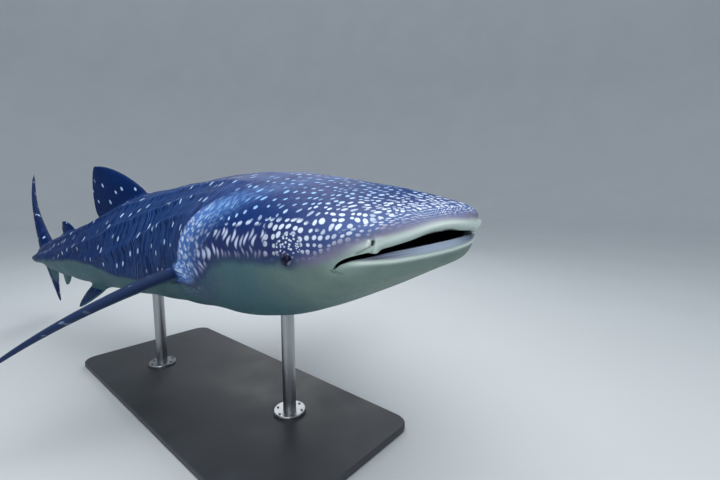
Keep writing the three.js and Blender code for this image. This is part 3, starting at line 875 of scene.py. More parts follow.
def fanned_spots(back, arc):
    """Counts spots in rows that fan out from a point before the snout and run straight on the trunk."""
    ahead = back + SPOT_FAN_START
    joint = math.log((SPOT_FAN_END + SPOT_FAN_START) / SPOT_FAN_START) / SPOT_GROWTH
    fan_along = np.log(np.hypot(ahead, arc) / SPOT_FAN_START) / SPOT_GROWTH
    fan_across = np.arctan2(arc, ahead) / SPOT_GROWTH
    straight = ease(back, 0.9, 1.6)
    along = fan_along + (joint + (back - SPOT_FAN_END) / TRUNK_SPACING - fan_along) * straight
    return along, fan_across + (arc / TRUNK_SPACING - fan_across) * straight


def blade_place(points):
    """For points near a pectoral fin: distance from its leading edge, and 0 to 1 from root to tip."""
    spans, chords = np.linspace(0, 1, 60), np.linspace(0, 1, 24)
    tree = KDTree(2 * len(spans) * len(chords))
    values = []
    for side in (1, -1):
        for front, span, width in zip(pectoral_leading(side)(spans), spans, pectoral_width(spans)):
            for from_edge in chords * width:
                tree.insert(Vector(front + PECTORAL_REARWARD * from_edge), len(values))
                values.append((from_edge, span))
    tree.balance()
    return np.array([values[tree.find(Vector(point))[1]] for point in points])


def skin_places(plain, normal, over):
    """Named values at each point of the skin."""
    back, left, up = plain.T
    arc, half_round = arc_from_back(plain)
    outside = np.maximum(over, 0)
    side = np.where(left < 0, -1, 1)
    round_tail = arc + outside
    round_tail = round_tail + (TAIL_BACK_ARC - up - round_tail) * ease(back, 3.90, 4.15)
    along, across = fanned_spots(back, round_tail)
    level = np.concatenate([plain[:, :1], np.zeros((len(plain), 2))], axis=1)
    level[:, 1] = half_at(back)
    side_row = (arc_from_back(level)[0] - arc) / spacing_at(back)
    above = up - border_at(back)
    fin = ease(over, 0.010, 0.040)
    paired = (np.abs(left) > 0.06) & (over > 0.02) & (back > 1.3) & (back < 3.2)
    pectoral_part = paired & (back < 2.75) & (np.abs(left) > 0.28)
    from_edge = np.ones(len(plain))
    span = np.zeros(len(plain))
    chosen = np.flatnonzero(pectoral_part)
    from_edge[chosen], span[chosen] = blade_place(plain[chosen]).T
    topside = ease(normal[:, 2], -0.15, 0.15)
    margin = np.maximum(1 - ease(from_edge, 0.030, 0.075), ease(span, 0.82, 0.93))
    fin_dark = 0.09 * (np.maximum(topside, margin) * 2 - 1)
    above = above + ease(over, 0.01, 0.05) * paired * (fin_dark - above)
    shoulder_line = 1.426 - 0.9 * (up - 0.057) - 4.2 * np.maximum(up - 0.057, 0) ** 2
    behind_shoulder = back - shoulder_line
    shoulder = ease(behind_shoulder, -0.55, -0.10) * (1 - ease(behind_shoulder, -0.02, 0.015))
    shoulder = shoulder * ease(above, -0.16, -0.02) * (1 - ease(up, 0.20, 0.30))
    zone_top = 0.030 + 0.090 * ease(back, 0.10, 0.35)
    eye_zone = (1 - ease(back, 0.80, 1.00)) * (1 - ease(above, zone_top, zone_top + 0.05))
    bars = ease(back, 0.44, 0.54) * (1 - ease(back, 1.12, 1.25)) * (1 - ease(above, 0.10, 0.16))
    trunk = np.maximum(ease(behind_shoulder, -0.01, 0.05), ease(back, 1.30, 1.60))
    over_eye = np.hypot((back - EYE_BACK + 0.014) / 1.6, up - EYE_UP - 0.042)
    reach = np.abs(left)
    front = back < 0.3
    lower = ~over_the_slot(plain) & front
    pad = lower * ease(up, lip_rim_at(reach) + 0.005, lip_rim_at(reach) + 0.013)
    # Pale lips, partly a painted highlight along the crest of the upper lip, the lower lip's rim and the
    # nostril rims
    lip = ~lower & front & (back < 0.16)
    lip = lip * hump(up, lip_edge_at(reach) + 0.020, 0.015) * (1 - ease(reach, 0.24, 0.33))
    rim = lower * hump(up, lip_rim_at(reach), 0.0075) * (1 - ease(reach, 0.27, 0.335))
    from_eye, _ = eye_ring(back - EYE_BACK, up - EYE_UP)
    slit, nostril_rim, furrow = nostril_parts(plain)
    # Painted shade in the nostril slits, the furrows before them and the gill slits
    slits = front * (back < 0.15) * np.minimum(1.6 * slit + 0.7 * furrow, 1)
    for behind, length in gill_lines(plain):
        slits = np.maximum(slits, length * hump(behind, 0.005, 0.006) * (1 - fin))
    return {
        "spot_place": np.stack([along, side * across, np.zeros(len(plain))], axis=-1),
        "side_place": np.stack([along_spots(back), side_row, np.where(left < 0, 0.0, 9.0)], axis=-1),
        "skin_place": plain,
        "above_border": above,
        "shoulder_part": shoulder * (1 - fin),
        "eye_part": eye_zone,
        "cluster_part": 1 - ease(over_eye, 0.024, 0.060),
        "bar_part": bars,
        "trunk_part": trunk,
        "wrap_part": trunk * (1 - fin) * (1 - 0.6 * ease(back, 1.9, 2.9)),
        "pad_part": pad * 1.0,
        # Painted shade inside the mouth
        "inside_part": ease(-over, 0.016, 0.040) * front,
        # Painted shade in the slits
        "slit_part": slits,
        # Pale lips, partly a painted highlight on their crests
        "lip_part": np.minimum(lip + rim + 0.9 * nostril_rim * (back < 0.15), 1),
        # Dark lid edges, partly painted shade where the skin tucks in behind the eyeball
        "lid_part": 1 - ease(from_eye, EYE_OPENING + 0.0014, EYE_OPENING + 0.0060),
        "paired_part": ease(over, 0.02, 0.08) * paired,
        "reach": reach,
    }, (arc, half_round)


def store(mesh, name, values):
    kind = "FLOAT_VECTOR" if values.ndim == 2 else "FLOAT"
    field = "vector" if values.ndim == 2 else "value"
    attribute = mesh.attributes.new(name, kind, "POINT")
    attribute.data.foreach_set(field, np.ascontiguousarray(values, np.float32).ravel())


# The unwrapped sheet, in shares of its side; fins and mouth lie on shelves over the body
SHEET_EDGE = 0.01
BODY_SHARE = 0.55
FIRST_SHELF = 0.58
SHELF_GAP = 0.008
FIN_SCALE = 0.105


def unwrap(mesh, plain, normal, over, arc, half_round):
    """Lays the skin out flat: the body in one chart, and each fin and the mouth in two."""
    back, left, up = plain.T
    corner_vertex = np.empty(len(mesh.loops), np.int64)
    mesh.loops.foreach_get("vertex_index", corner_vertex)
    starts = np.empty(len(mesh.polygons), np.int64)
    mesh.polygons.foreach_get("loop_start", starts)
    totals = np.diff(np.append(starts, len(corner_vertex)))
    face_of = np.repeat(np.arange(len(starts)), totals)

    def face_mean(values):
        return np.bincount(face_of, weights=values[corner_vertex]) / totals

    middle = np.stack([face_mean(column) for column in plain.T], axis=-1)
    facing = np.stack([face_mean(column) for column in normal.T], axis=-1)
    outside = face_mean(over)
    inside = (outside < -0.012) & (middle[:, 0] < 0.6)
    fin = outside > 0.02
    level = fin & (np.abs(middle[:, 1]) > 0.06) & (middle[:, 0] > 1.3) & (middle[:, 0] < 3.2)
    sheets = [(inside & (facing[:, 2] > 0), (back, left)), (inside & (facing[:, 2] <= 0), (back, left))]
    for which in (1, -1):
        for turned in (1, -1):
            part = level & (middle[:, 1] * which > 0) & (facing[:, 2] * turned >= 0)
            sheets.append((part & (middle[:, 0] < 2.6), (back, left)))
            sheets.append((part & (middle[:, 0] >= 2.6), (back, left)))
    for turned in (1, -1):
        part = fin & ~level & (facing[:, 1] * turned >= 0)
        sheets.append((part & (middle[:, 0] < 3.2), (back, up)))
        sheets.append((part & (middle[:, 0] >= 3.2) & (middle[:, 0] < 4.0), (back, up)))
        sheets.append((part & (middle[:, 0] >= 4.0), (back, up)))

    flat = np.empty((len(corner_vertex), 2))
    counted = along_spots(back)
    flat[:, 0] = SHEET_EDGE + (1 - 2 * SHEET_EDGE) * (counted / counted.max())[corner_vertex]
    turn = (0.5 + 0.5 * np.sign(left) * arc / half_round)[corner_vertex]
    face_turn = (np.bincount(face_of, weights=turn) / totals)[face_of]
    spread = np.maximum.reduceat(turn, starts) - np.minimum.reduceat(turn, starts)
    crossing = (spread > 0.5)[face_of]
    turn = np.where(crossing, np.round(face_turn), turn)
    flat[:, 1] = SHEET_EDGE + BODY_SHARE * turn

    shelf_left, shelf_low, shelf_height = SHEET_EDGE, FIRST_SHELF, 0.0
    for part, (across, rise) in sheets:
        corners = part[face_of]
        if not corners.any():
            continue
        a, b = across[corner_vertex[corners]], rise[corner_vertex[corners]]
        width, height = np.ptp(a) * FIN_SCALE, np.ptp(b) * FIN_SCALE
        if shelf_left + width > 1 - SHEET_EDGE:
            shelf_left, shelf_low, shelf_height = SHEET_EDGE, shelf_low + shelf_height + SHELF_GAP, 0.0
        flat[corners, 0] = shelf_left + (a - a.min()) * FIN_SCALE
        flat[corners, 1] = shelf_low + (b - b.min()) * FIN_SCALE
        shelf_left += width + SHELF_GAP
        shelf_height = max(shelf_height, height)
    layer = mesh.uv_layers.new(name="OFBake")
    layer.data.foreach_set("uv", np.clip(flat, 0, 1).astype(np.float32).ravel())
    return shelf_low + shelf_height


# Shader helpers
def paint(red, green, blue):
    """A colour from its 0 to 255 screen values."""
    values = []
    for value in (red, green, blue):
        value = value / 255
        values.append(value / 12.92 if value <= 0.04045 else ((value + 0.055) / 1.055) ** 2.4)
    return (*values, 1.0)


class Shading:
    """Adds nodes to one tree; values can be numbers or sockets of other nodes."""

    def __init__(self, tree):
        self.tree = tree

    def feed(self, socket, value):
        if isinstance(value, bpy.types.NodeSocket):
            self.tree.links.new(value, socket)
        elif value is not None:
            socket.default_value = value

    def add(self, kind, settings=None, **values):
        node = self.tree.nodes.new("ShaderNode" + kind)
        for key, value in (settings or {}).items():
            setattr(node, key, value)
        for key, value in values.items():
            self.feed(node.inputs[key.replace("_", " ")], value)
        return node

    def math(self, operation, *values):
        node = self.add("Math", {"operation": operation})
        for socket, value in zip(node.inputs, values):
            self.feed(socket, value)
        return node.outputs[0]

    def times(self, first, *others):
        for value in others:
            first = self.math("MULTIPLY", first, value)
        return first

    def plus(self, first, *others):
        for value in others:
            first = self.math("ADD", first, value)
        return first

    def rest(self, value):
        """What is left of 1."""
        return self.math("SUBTRACT", 1.0, value)

    def vector(self, operation, *values):
        node = self.add("VectorMath", {"operation": operation})
        for socket, value in zip(node.inputs, values):
            self.feed(socket, value)
        return node.outputs[0]

    def ease(self, value, low, high, start=0.0, end=1.0):
        node = self.add("MapRange", {"interpolation_type": "SMOOTHSTEP"})
        for key, given in zip(("Value", "From Min", "From Max", "To Min", "To Max"),
                              (value, low, high, start, end)):
            self.feed(node.inputs[key], given)
        return node.outputs[0]

    def mix(self, factor, below, above, blend="MIX"):
        node = self.add("Mix", {"data_type": "RGBA", "blend_type": blend})
        for socket, value in ((node.inputs[0], factor), (node.inputs[6], below), (node.inputs[7], above)):
            self.feed(socket, value)
        return node.outputs[2]

    def ramp(self, value, stops):
        node = self.add("ValToRGB")
        self.feed(node.inputs[0], value)
        elements = node.color_ramp.elements
        while len(elements) < len(stops):
            elements.new(0.5)
        for element, (position, colour) in zip(elements, stops):
            element.position = position
            element.color = colour
        return node.outputs[0]

    def noise(self, vector, scale, detail=2.0, roughness=0.5, dimensions="3D"):
        node = self.add("TexNoise", {"noise_dimensions": dimensions}, Vector=vector, Scale=scale,
                        Detail=detail, Roughness=roughness)
        return node.outputs[0]

    def attribute(self, name, field="Fac"):
        return self.add("Attribute", {"attribute_name": name}).outputs[field]

    def use(self, group, **values):
        node = self.add("Group")
        node.node_tree = group
        for key, value in values.items():
            self.feed(node.inputs[key.replace("_", " ")], value)
        return node.outputs


def shader_group(name, inputs, outputs):
    """An empty group with named inputs and outputs, each given as (name, kind, value)."""
    tree = bpy.data.node_groups.new(name, "ShaderNodeTree")
    for label, kind, value in inputs:
        socket = tree.interface.new_socket(label, in_out="INPUT", socket_type="NodeSocket" + kind)
        socket.default_value = value
    for label, kind in outputs:
        tree.interface.new_socket(label, in_out="OUTPUT", socket_type="NodeSocket" + kind)
    entry = tree.nodes.new("NodeGroupInput")
    leave = tree.nodes.new("NodeGroupOutput")
    return Shading(tree), entry.outputs, leave.inputs


def spot_field():
    """Scattered soft spots in loose rows: Mask, and a Chance that differs from spot to spot."""
    s, given, out = shader_group(
        "spot_field",
        [("Place", "Vector", (0, 0, 0)), ("Stretch", "Vector", (1, 1, 1)), ("Size", "Float", 0.25),
         ("Softness", "Float", 0.06), ("Jitter", "Float", 0.6)],
        [("Mask", "Float"), ("Chance", "Float")],
    )
    place_in = s.vector("MULTIPLY", given["Place"], given["Stretch"])
    cells = s.add("TexVoronoi", {"voronoi_dimensions": "2D"}, Vector=place_in, Scale=1.0,
                  Randomness=given["Jitter"])
    split = s.add("SeparateColor", Color=cells.outputs["Color"])
    size = s.times(given["Size"], s.ease(split.outputs[0], 0.0, 1.0, 0.80, 1.16))
    outer = s.plus(size, given["Softness"])
    inner = s.math("SUBTRACT", size, given["Softness"])
    s.feed(out["Mask"], s.ease(cells.outputs["Distance"], outer, inner))
    s.feed(out["Chance"], split.outputs[2])
    return s.tree


def fine_grain():
    """Fine uneven grain: Height for a bump, and Tone that varies about 0.5."""
    s, given, out = shader_group(
        "fine_grain",
        [("Place", "Vector", (0, 0, 0)), ("Fineness", "Float", 300.0), ("Coarseness", "Float", 6.0)],
        [("Height", "Float"), ("Tone", "Float")],
    )
    fine = s.noise(given["Place"], given["Fineness"], 3.0, 0.6)
    coarse = s.noise(given["Place"], given["Coarseness"], 3.0, 0.55)
    s.feed(out["Height"], s.plus(s.times(fine, 0.6), s.times(coarse, 0.4)))
    s.feed(out["Tone"], coarse)
    return s.tree


def new_material(name):
    material = bpy.data.materials.new(name)
    material.use_nodes = True
    tree = material.node_tree
    tree.nodes.clear()
    s = Shading(tree)
    surface = s.add("BsdfPrincipled")
    leave = s.add("OutputMaterial")
    tree.links.new(surface.outputs[0], leave.inputs["Surface"])
    return material, s, surface


def bump(s, surface, height, strength, distance):
    node = s.add("Bump", Height=height, Strength=strength, Distance=distance)
    s.feed(surface.inputs["Normal"], node.outputs[0])


# Colours of the skin, as screen values
SKIN = {
    "snout": paint(104, 130, 176),
    "forehead": paint(72, 92, 146),
    "cheek": paint(44, 56, 106),
    "nape": paint(32, 48, 100),
    "trunk": paint(5, 42, 96),
    "tail": paint(2, 34, 88),
    "crown": paint(2, 46, 110),
    "shoulder": paint(88, 134, 210),
    "paired_fin": paint(44, 58, 90),
    "mauve_tint": paint(196, 178, 210),
    "line": paint(86, 130, 198),
    "spot": paint(222, 234, 252),
    "trunk_spot": paint(190, 218, 250),
    "crown_spot": paint(140, 196, 246),
    "low_spot": paint(172, 164, 188),
    "bar": paint(196, 206, 242),
    "low_dash": paint(150, 166, 190),
    # The underside: pale skin painted darker as shade, and darker still towards the tail as painted shade
    "underside": paint(118, 138, 130),
    "underside_patch": paint(104, 126, 120),
    "shaded_rear_underside": paint(66, 102, 112),
    "chin": paint(174, 196, 188),
    # Painted shade on the pale skin below the border behind the gills
    "painted_shoulder_shade": paint(62, 80, 108),
    "snout_border": paint(124, 122, 146),
    "border": paint(50, 70, 102),
    # Pale lips, partly a painted highlight on their crests
    "lip": paint(216, 230, 224),
    "tooth_pad": paint(160, 174, 196),
    "tooth_pad_side": paint(112, 118, 144),
    "tooth_row": paint(178, 188, 206),
    # Painted shade inside the mouth
    "painted_throat_shade": paint(14, 16, 34),
    # Painted shade in the slits
    "slit": paint(16, 20, 38),
    # Dark lid edges, partly painted shade round the eyeball
    "lid": paint(8, 12, 32),
}
# The colour along the back, by its share of the length
BACK_LENGTH = 5.5
BACK_RAMP = ((0.000, "snout"), (0.030, "forehead"), (0.080, "cheek"), (0.200, "nape"), (0.300, "trunk"),
             (1.000, "tail"))
SKIN_PARTS = ("shoulder", "eye", "cluster", "bar", "trunk", "wrap", "pad", "inside", "slit", "lip", "lid",
              "paired")
# Kinds of pale marks: the rows they lie in, their stretch, their size, or two distances back and the
# sizes there, their softness and jitter, and the two chances between which their strength rises to
# full from the least, given last
MARKS = (
    ("head", "loose", (1.08, 0.84, 1.0), (0.03, 0.55, 0.33, 0.16), 0.05, 0.42, (0.0, 0.4, 0.55)),
    ("bold", "aside", (0.80, 1.06, 1.0), (0.35, 0.80, 0.31, 0.23), 0.07, 0.45, (0.0, 0.5, 0.70)),
    ("bar", "curled", (1.40, 0.62, 1.0), 0.27, 0.15, 0.5, (0.0, 0.5, 0.45)),
    ("close", "aside", (1.65, 2.55, 1.0), 0.27, 0.09, 0.8, None),
    ("speck", "leaning", (4.0, 2.7, 1.0), 0.30, 0.19, 0.9, (0.0, 0.8, 0.50)),
    ("trunk", "even", (1.00, 0.60, 1.0), 0.098, 0.030, 0.45, (0.08, 0.35, 0.0)),
)


def mark_rows(s):
    """The ways in which marks lie in rows, pushed about a little so that no row is straight."""
    spot_place, side_place = s.attribute("spot_place", "Vector"), s.attribute("side_place", "Vector")
    drift = s.add("TexNoise", {"noise_dimensions": "2D"}, Vector=spot_place, Scale=0.35, Detail=0.0)
    drift = s.vector("SUBTRACT", drift.outputs["Color"], (0.5, 0.5, 0.5))

    def drifted(place_at, reach):
        return s.vector("ADD", place_at, s.vector("MULTIPLY", drift, (reach, reach, 0.0)))

    loose, aside = drifted(spot_place, 1.1), drifted(side_place, 0.8)
    parts = s.add("SeparateXYZ", Vector=loose)
    lean = s.math("SUBTRACT", parts.outputs[0], s.times(s.math("ABSOLUTE", parts.outputs[1]), 0.45))
    leaning = s.add("CombineXYZ", X=lean, Y=parts.outputs[1]).outputs[0]
    row = s.add("SeparateXYZ", Vector=aside).outputs[1]
    curl = s.times(s.math("SINE", s.times(row, 3.4)), 0.16)
    curled = s.vector("ADD", aside, s.add("CombineXYZ", X=curl).outputs[0])
    even = drifted(leaning, -0.7)
    return {"loose": loose, "aside": aside, "leaning": leaning, "curled": curled, "even": even}, lean


def skin_marks(s, spots, rows, back, part):
    """Strength of the pale marks, each kind in its own part of the skin, and the bare specks."""
    masks, kinds = {}, {}
    for name, row, stretch, size, softness, jitter, chances in MARKS:
        if isinstance(size, tuple):
            size = s.ease(back, *size)
        field = s.use(spots, Place=rows[row], Stretch=stretch, Size=size, Softness=softness, Jitter=jitter)
        masks[name] = kinds[name] = field["Mask"]
        if chances:
            kinds[name] = s.times(field["Mask"], s.ease(field["Chance"], *chances, 1.0))
    places = {
        "bold": s.ease(part["eye"], 0.3, 0.7),
        "bar": s.ease(part["bar"], 0.3, 0.7),
        "close": s.ease(part["cluster"], 0.3, 0.7),
        "speck": part["shoulder"],
        "trunk": s.times(part["trunk"], s.rest(part["shoulder"])),
    }
    marks = kinds["head"]
    for name, where in places.items():
        marks = s.plus(s.times(marks, s.rest(where)), s.times(kinds[name], where))
    return s.times(marks, s.rest(s.times(part["paired"], 0.75))), masks["speck"]


def wrap_lines(s, leaning, lean, wrap):
    """Thin pale lines that wrap the body behind the shoulder."""
    wander = s.noise(s.vector("MULTIPLY", leaning, (1.0, 0.55, 1.0)), 0.8, 1.0, 0.5, "2D")
    broken = s.noise(s.vector("MULTIPLY", leaning, (3.0, 0.5, 1.0)), 1.0, 2.0, 0.6, "2D")
    wave = s.math("SINE", s.plus(s.times(lean, 38.0), s.times(wander, 17.0)))
    return s.times(s.ease(wave, 0.0, 1.0), s.ease(broken, 0.34, 0.60), wrap)


def back_colour(s, part, place_in, tone, marks, line):
    """The marked back, from the pale bluish snout to the dark blue trunk and fins."""
    back, up, above = place_in
    base = s.ramp(s.math("DIVIDE", back, BACK_LENGTH), [(stop, SKIN[name]) for stop, name in BACK_RAMP])
    on_top = s.times(s.ease(up, 0.05, 0.16), s.ease(back, 1.3, 0.9, 0.0, 0.95))
    base = s.mix(on_top, base, SKIN["crown"])
    base = s.mix(s.times(line, 0.72), base, SKIN["line"])
    tinted = s.mix(1.0, base, SKIN["mauve_tint"], "MULTIPLY")
    base = s.mix(s.times(s.ease(tone, 0.3, 0.7, 0.0, 0.30), s.rest(on_top)), base, tinted)
    base = s.mix(s.times(part["shoulder"], 0.80), base, SKIN["shoulder"])
    base = s.mix(s.times(part["paired"], 0.8), base, SKIN["paired_fin"])
    spot = s.mix(part["trunk"], SKIN["spot"], SKIN["trunk_spot"])
    spot = s.mix(s.times(on_top, s.ease(up, 0.09, 0.20)), spot, SKIN["crown_spot"])
    spot = s.mix(s.times(part["bar"], 0.7), spot, SKIN["bar"])
    spot = s.mix(s.ease(above, 0.0, 0.06), SKIN["low_spot"], spot)
    return s.mix(s.times(marks, s.ease(above, -0.02, 0.04, 0.3, 1.0)), base, spot)


def underside_colour(s, part, place_in, tone, specks):
    back, _, above = place_in
    # The pale underside, painted darker to stand for shade
    pale = s.mix(s.ease(tone, 0.3, 0.75), SKIN["underside"], SKIN["underside_patch"])
    # Painted shade deepening towards the tail
    pale = s.mix(s.ease(back, 0.20, 0.75, 0.0, 0.90), pale, SKIN["shaded_rear_underside"])
    near_tip = s.times(s.ease(back, 0.24, 0.03), s.ease(above, -0.10, -0.03), 0.8)
    pale = s.mix(near_tip, pale, SKIN["chin"])
    # Painted shade on the shoulder just below the border, behind the gills
    shade = s.times(s.ease(above, -0.19, -0.02), s.ease(back, 0.75, 1.15), s.ease(back, 1.75, 1.45), 0.75)
    pale = s.mix(shade, pale, SKIN["painted_shoulder_shade"])
    return s.mix(s.times(specks, part["shoulder"], 0.5), pale, SKIN["low_dash"])


def border_colour(s, at, place_in, below, over):
    """The underside below the border, a mauve band along it, and the back over it."""
    back, _, above = place_in
    ragged = s.times(s.math("SUBTRACT", s.noise(at, 11.0, 2.0), 0.5), 0.04)
    edge = s.math("DIVIDE", s.plus(above, ragged), s.ease(back, 1.2, 2.0, 1.0, 0.4))
    band = s.mix(s.ease(back, 0.18, 0.38), SKIN["snout_border"], SKIN["border"])
    colour = s.mix(s.ease(edge, -0.034, 0.004), below, band)
    return s.mix(s.ease(edge, -0.006, 0.040), colour, over)


def with_openings(s, colour, part, tooth_rows):
    """Adds the lips with a painted highlight, the tooth pad, and painted shade in the mouth, the slits and
    the lids.
    """
    reach = s.attribute("reach")
    pad = s.mix(s.ease(reach, 0.06, 0.26), SKIN["tooth_pad"], SKIN["tooth_pad_side"])
    pad = s.mix(s.ease(tooth_rows, 0.3, 1.0, 0.0, 0.40), pad, SKIN["tooth_row"])
    # Pale lips, partly a painted highlight on their crests
    colour = s.mix(part["lip"], colour, SKIN["lip"])
    colour = s.mix(part["pad"], colour, pad)
    # Painted shade: the inside of the mouth near black
    colour = s.mix(part["inside"], colour, SKIN["painted_throat_shade"])
    # Painted shade in the slits
    colour = s.mix(s.times(part["slit"], 0.85), colour, SKIN["slit"])
    # Dark lid edges, partly painted shade round the eyeball
    return s.mix(s.times(part["lid"], 0.95), colour, SKIN["lid"])


def skin_material(groups):
    material, s, surface = new_material("shark_skin")
    at = s.attribute("skin_place", "Vector")
    axes = s.add("SeparateXYZ", Vector=at).outputs
    back, up = axes[0], axes[2]
    place_in = (back, up, s.attribute("above_border"))
    part = {name: s.attribute(name + "_part") for name in SKIN_PARTS}
    rows, lean = mark_rows(s)
    marks, specks = skin_marks(s, groups["spots"], rows, back, part)
    line = wrap_lines(s, rows["leaning"], lean, part["wrap"])
    tone = s.noise(at, 7.0, 4.0, 0.6)
    tooth_rows = s.math("SINE", s.plus(s.times(up, 720.0), s.times(tone, 9.0)))
    over = back_colour(s, part, place_in, tone, marks, line)
    below = underside_colour(s, part, place_in, tone, specks)
    colour = border_colour(s, at, place_in, below, over)
    grain = s.use(groups["grain"], Place=at, Fineness=520.0, Coarseness=45.0)
    s.feed(surface.inputs["Base Color"], with_openings(s, colour, part, tooth_rows))
    s.feed(surface.inputs["Roughness"], s.ease(grain["Tone"], 0.3, 0.7, 0.46, 0.60))
    surface.inputs["Specular IOR Level"].default_value = 0.09
    relief = s.plus(grain["Height"], s.times(marks, 0.10), s.times(line, 0.4),
                    s.times(tooth_rows, part["pad"], 0.25))
    bump(s, surface, relief, 0.35, 0.0022)
    return material


def eye_material(groups):
    material, s, surface = new_material("shark_eye")
    place_in = s.attribute("eye_place", "Vector")
    away = s.add("VectorMath", {"operation": "LENGTH"})
    s.feed(away.inputs[0], place_in)
    radial = away.outputs["Value"]
    axes = s.add("SeparateXYZ", Vector=place_in)
    turn = s.math("ARCTAN2", axes.outputs[1], axes.outputs[0])
    around = s.add("CombineXYZ", X=turn, Y=s.times(radial, 0.6)).outputs[0]
    fibres = s.noise(around, 9.0, 3.0)
    iris = s.mix(s.ease(fibres, 0.35, 0.65), paint(8, 8, 40), paint(36, 28, 66))
    # Painted reflection: a mauve glint over the upper part of the iris
    iris = s.mix(s.ease(axes.outputs[1], 0.20, 0.50, 0.0, 0.7), iris, paint(92, 74, 108))
    colour = s.mix(s.ease(radial, 0.40, 0.46), paint(2, 2, 18), iris)
    colour = s.mix(s.ease(radial, 0.62, 0.72), colour, paint(8, 12, 44))
    low_front = s.add("VectorMath", {"operation": "DOT_PRODUCT"})
    s.feed(low_front.inputs[0], place_in)
    s.feed(low_front.inputs[1], (-0.74, -0.67, 0.0))
    crescent = s.ease(low_front.outputs["Value"], 1.03, 1.12)
    colour = s.mix(crescent, colour, paint(120, 134, 152))
    grain = s.use(groups["grain"], Place=place_in, Fineness=14.0, Coarseness=3.0)
    s.feed(surface.inputs["Base Color"], colour)
    surface.inputs["Roughness"].default_value = 0.10
    surface.inputs["Specular IOR Level"].default_value = 0.20
    bump(s, surface, grain["Height"], 0.04, 0.0004)
    return material


def stand_material(groups, name, stretch, grain_sizes, tones, roughness, metallic, relief):
    """A finish with a grain: its two colours, two roughnesses, and the bump's strength and depth."""
    material, s, surface = new_material(name)
    place_in = s.vector("MULTIPLY", s.add("TexCoord").outputs["Object"], stretch)
    grain = s.use(groups["grain"], Place=place_in, Fineness=grain_sizes[0], Coarseness=grain_sizes[1])
    s.feed(surface.inputs["Base Color"], s.mix(s.ease(grain["Tone"], 0.3, 0.7), *tones))
    s.feed(surface.inputs["Roughness"], s.ease(grain["Tone"], 0.3, 0.7, *roughness))
    surface.inputs["Metallic"].default_value = metallic
    bump(s, surface, grain["Height"], *relief)
    return material


def painted_base_material(groups):
    return stand_material(groups, "stand_paint", (1.0, 1.0, 1.0), (420.0, 3.0),
                          (paint(52, 55, 60), paint(64, 67, 72)), (0.42, 0.56), 0.0, (0.25, 0.0006))


def brushed_steel_material(groups):
    return stand_material(groups, "stand_steel", (1.0, 1.0, 0.03), (900.0, 40.0),
                          (paint(150, 153, 157), paint(178, 180, 183)), (0.26, 0.38), 1.0, (0.2, 0.0003))


def stage_material(groups):
    material, s, surface = new_material("studio_floor")
    place_in = s.add("TexCoord").outputs["Object"]
    grain = s.use(groups["grain"], Place=place_in, Fineness=60.0, Coarseness=0.6)
    colour = s.mix(s.ease(grain["Tone"], 0.3, 0.7), paint(214, 218, 221), paint(217, 221, 224))
    s.feed(surface.inputs["Base Color"], colour)
    surface.inputs["Roughness"].default_value = 0.85
    return material


def smooth(mesh):
    mesh.polygons.foreach_set("use_smooth", np.ones(len(mesh.polygons), bool))


def add_skin(material):
    mesh, plain, shaped, normal, over = shaped_skin()
    places, (arc, half_round) = skin_places(plain, normal, over)
    for name, values in places.items():
        store(mesh, name, values)
    unwrap(mesh, plain, normal, over, arc, half_round)
    set_positions(mesh, place(shaped, ride_root(plain, over)))
    mesh.flip_normals()
    smooth(mesh)
    mesh.name = "shark_skin"
    mesh.materials.append(material)
    piece = bpy.data.objects.new("shark_skin", mesh)
    bpy.context.scene.collection.objects.link(piece)
    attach(piece, "root")
    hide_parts(*FLESH)
    return piece


# Eyes: the pupil looks a little up and back, so that pale shows below and before it
EYE_RINGS = 48
EYE_POINTS = 72
GAZE = np.array([0.0034, 0.0036])
CORNEA = 0.0008


def add_eye(side, material):
    turns = np.linspace(0, math.pi, EYE_RINGS + 2)[1:-1]
    around = np.arange(EYE_POINTS) / EYE_POINTS * 2 * math.pi
    axis = np.cos(turns)[:, None] * np.ones(EYE_POINTS)
    across = np.sin(turns)[:, None] * np.cos(around)
    rise = np.sin(turns)[:, None] * np.sin(around)
    radius = EYE_RADIUS + CORNEA * hump(np.sin(turns), 0, 0.55)[:, None] * (axis > 0)
    rings = np.stack([across * radius, side * axis * radius, rise * radius], axis=-1)
    points, faces = loft(rings)
    aside = points / EYE_RADIUS
    centre = eye_centre(side)
    piece = mesh_object("eye_ball_" + ("left" if side > 0 else "right"), place(points + centre), faces)
    face_out(piece.data)
    smooth(piece.data)
    looking = np.column_stack([aside[:, 0] - GAZE[0] / EYE_RADIUS, aside[:, 2] - GAZE[1] / EYE_RADIUS,
                               np.where(aside[:, 1] * side > 0, 0, 1)])
    store(piece.data, "eye_place", looking)
    piece.data.materials.append(material)
    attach(piece, "root")
    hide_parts("eye_left" if side > 0 else "eye_right")


# Stand: bolts round each flange
BOLTS = 6
BOLT_CIRCLE = 0.074
BOLT_RADIUS = 0.0075
BOLT_HEIGHT = 0.007
FLANGE_TOP = 0.0584


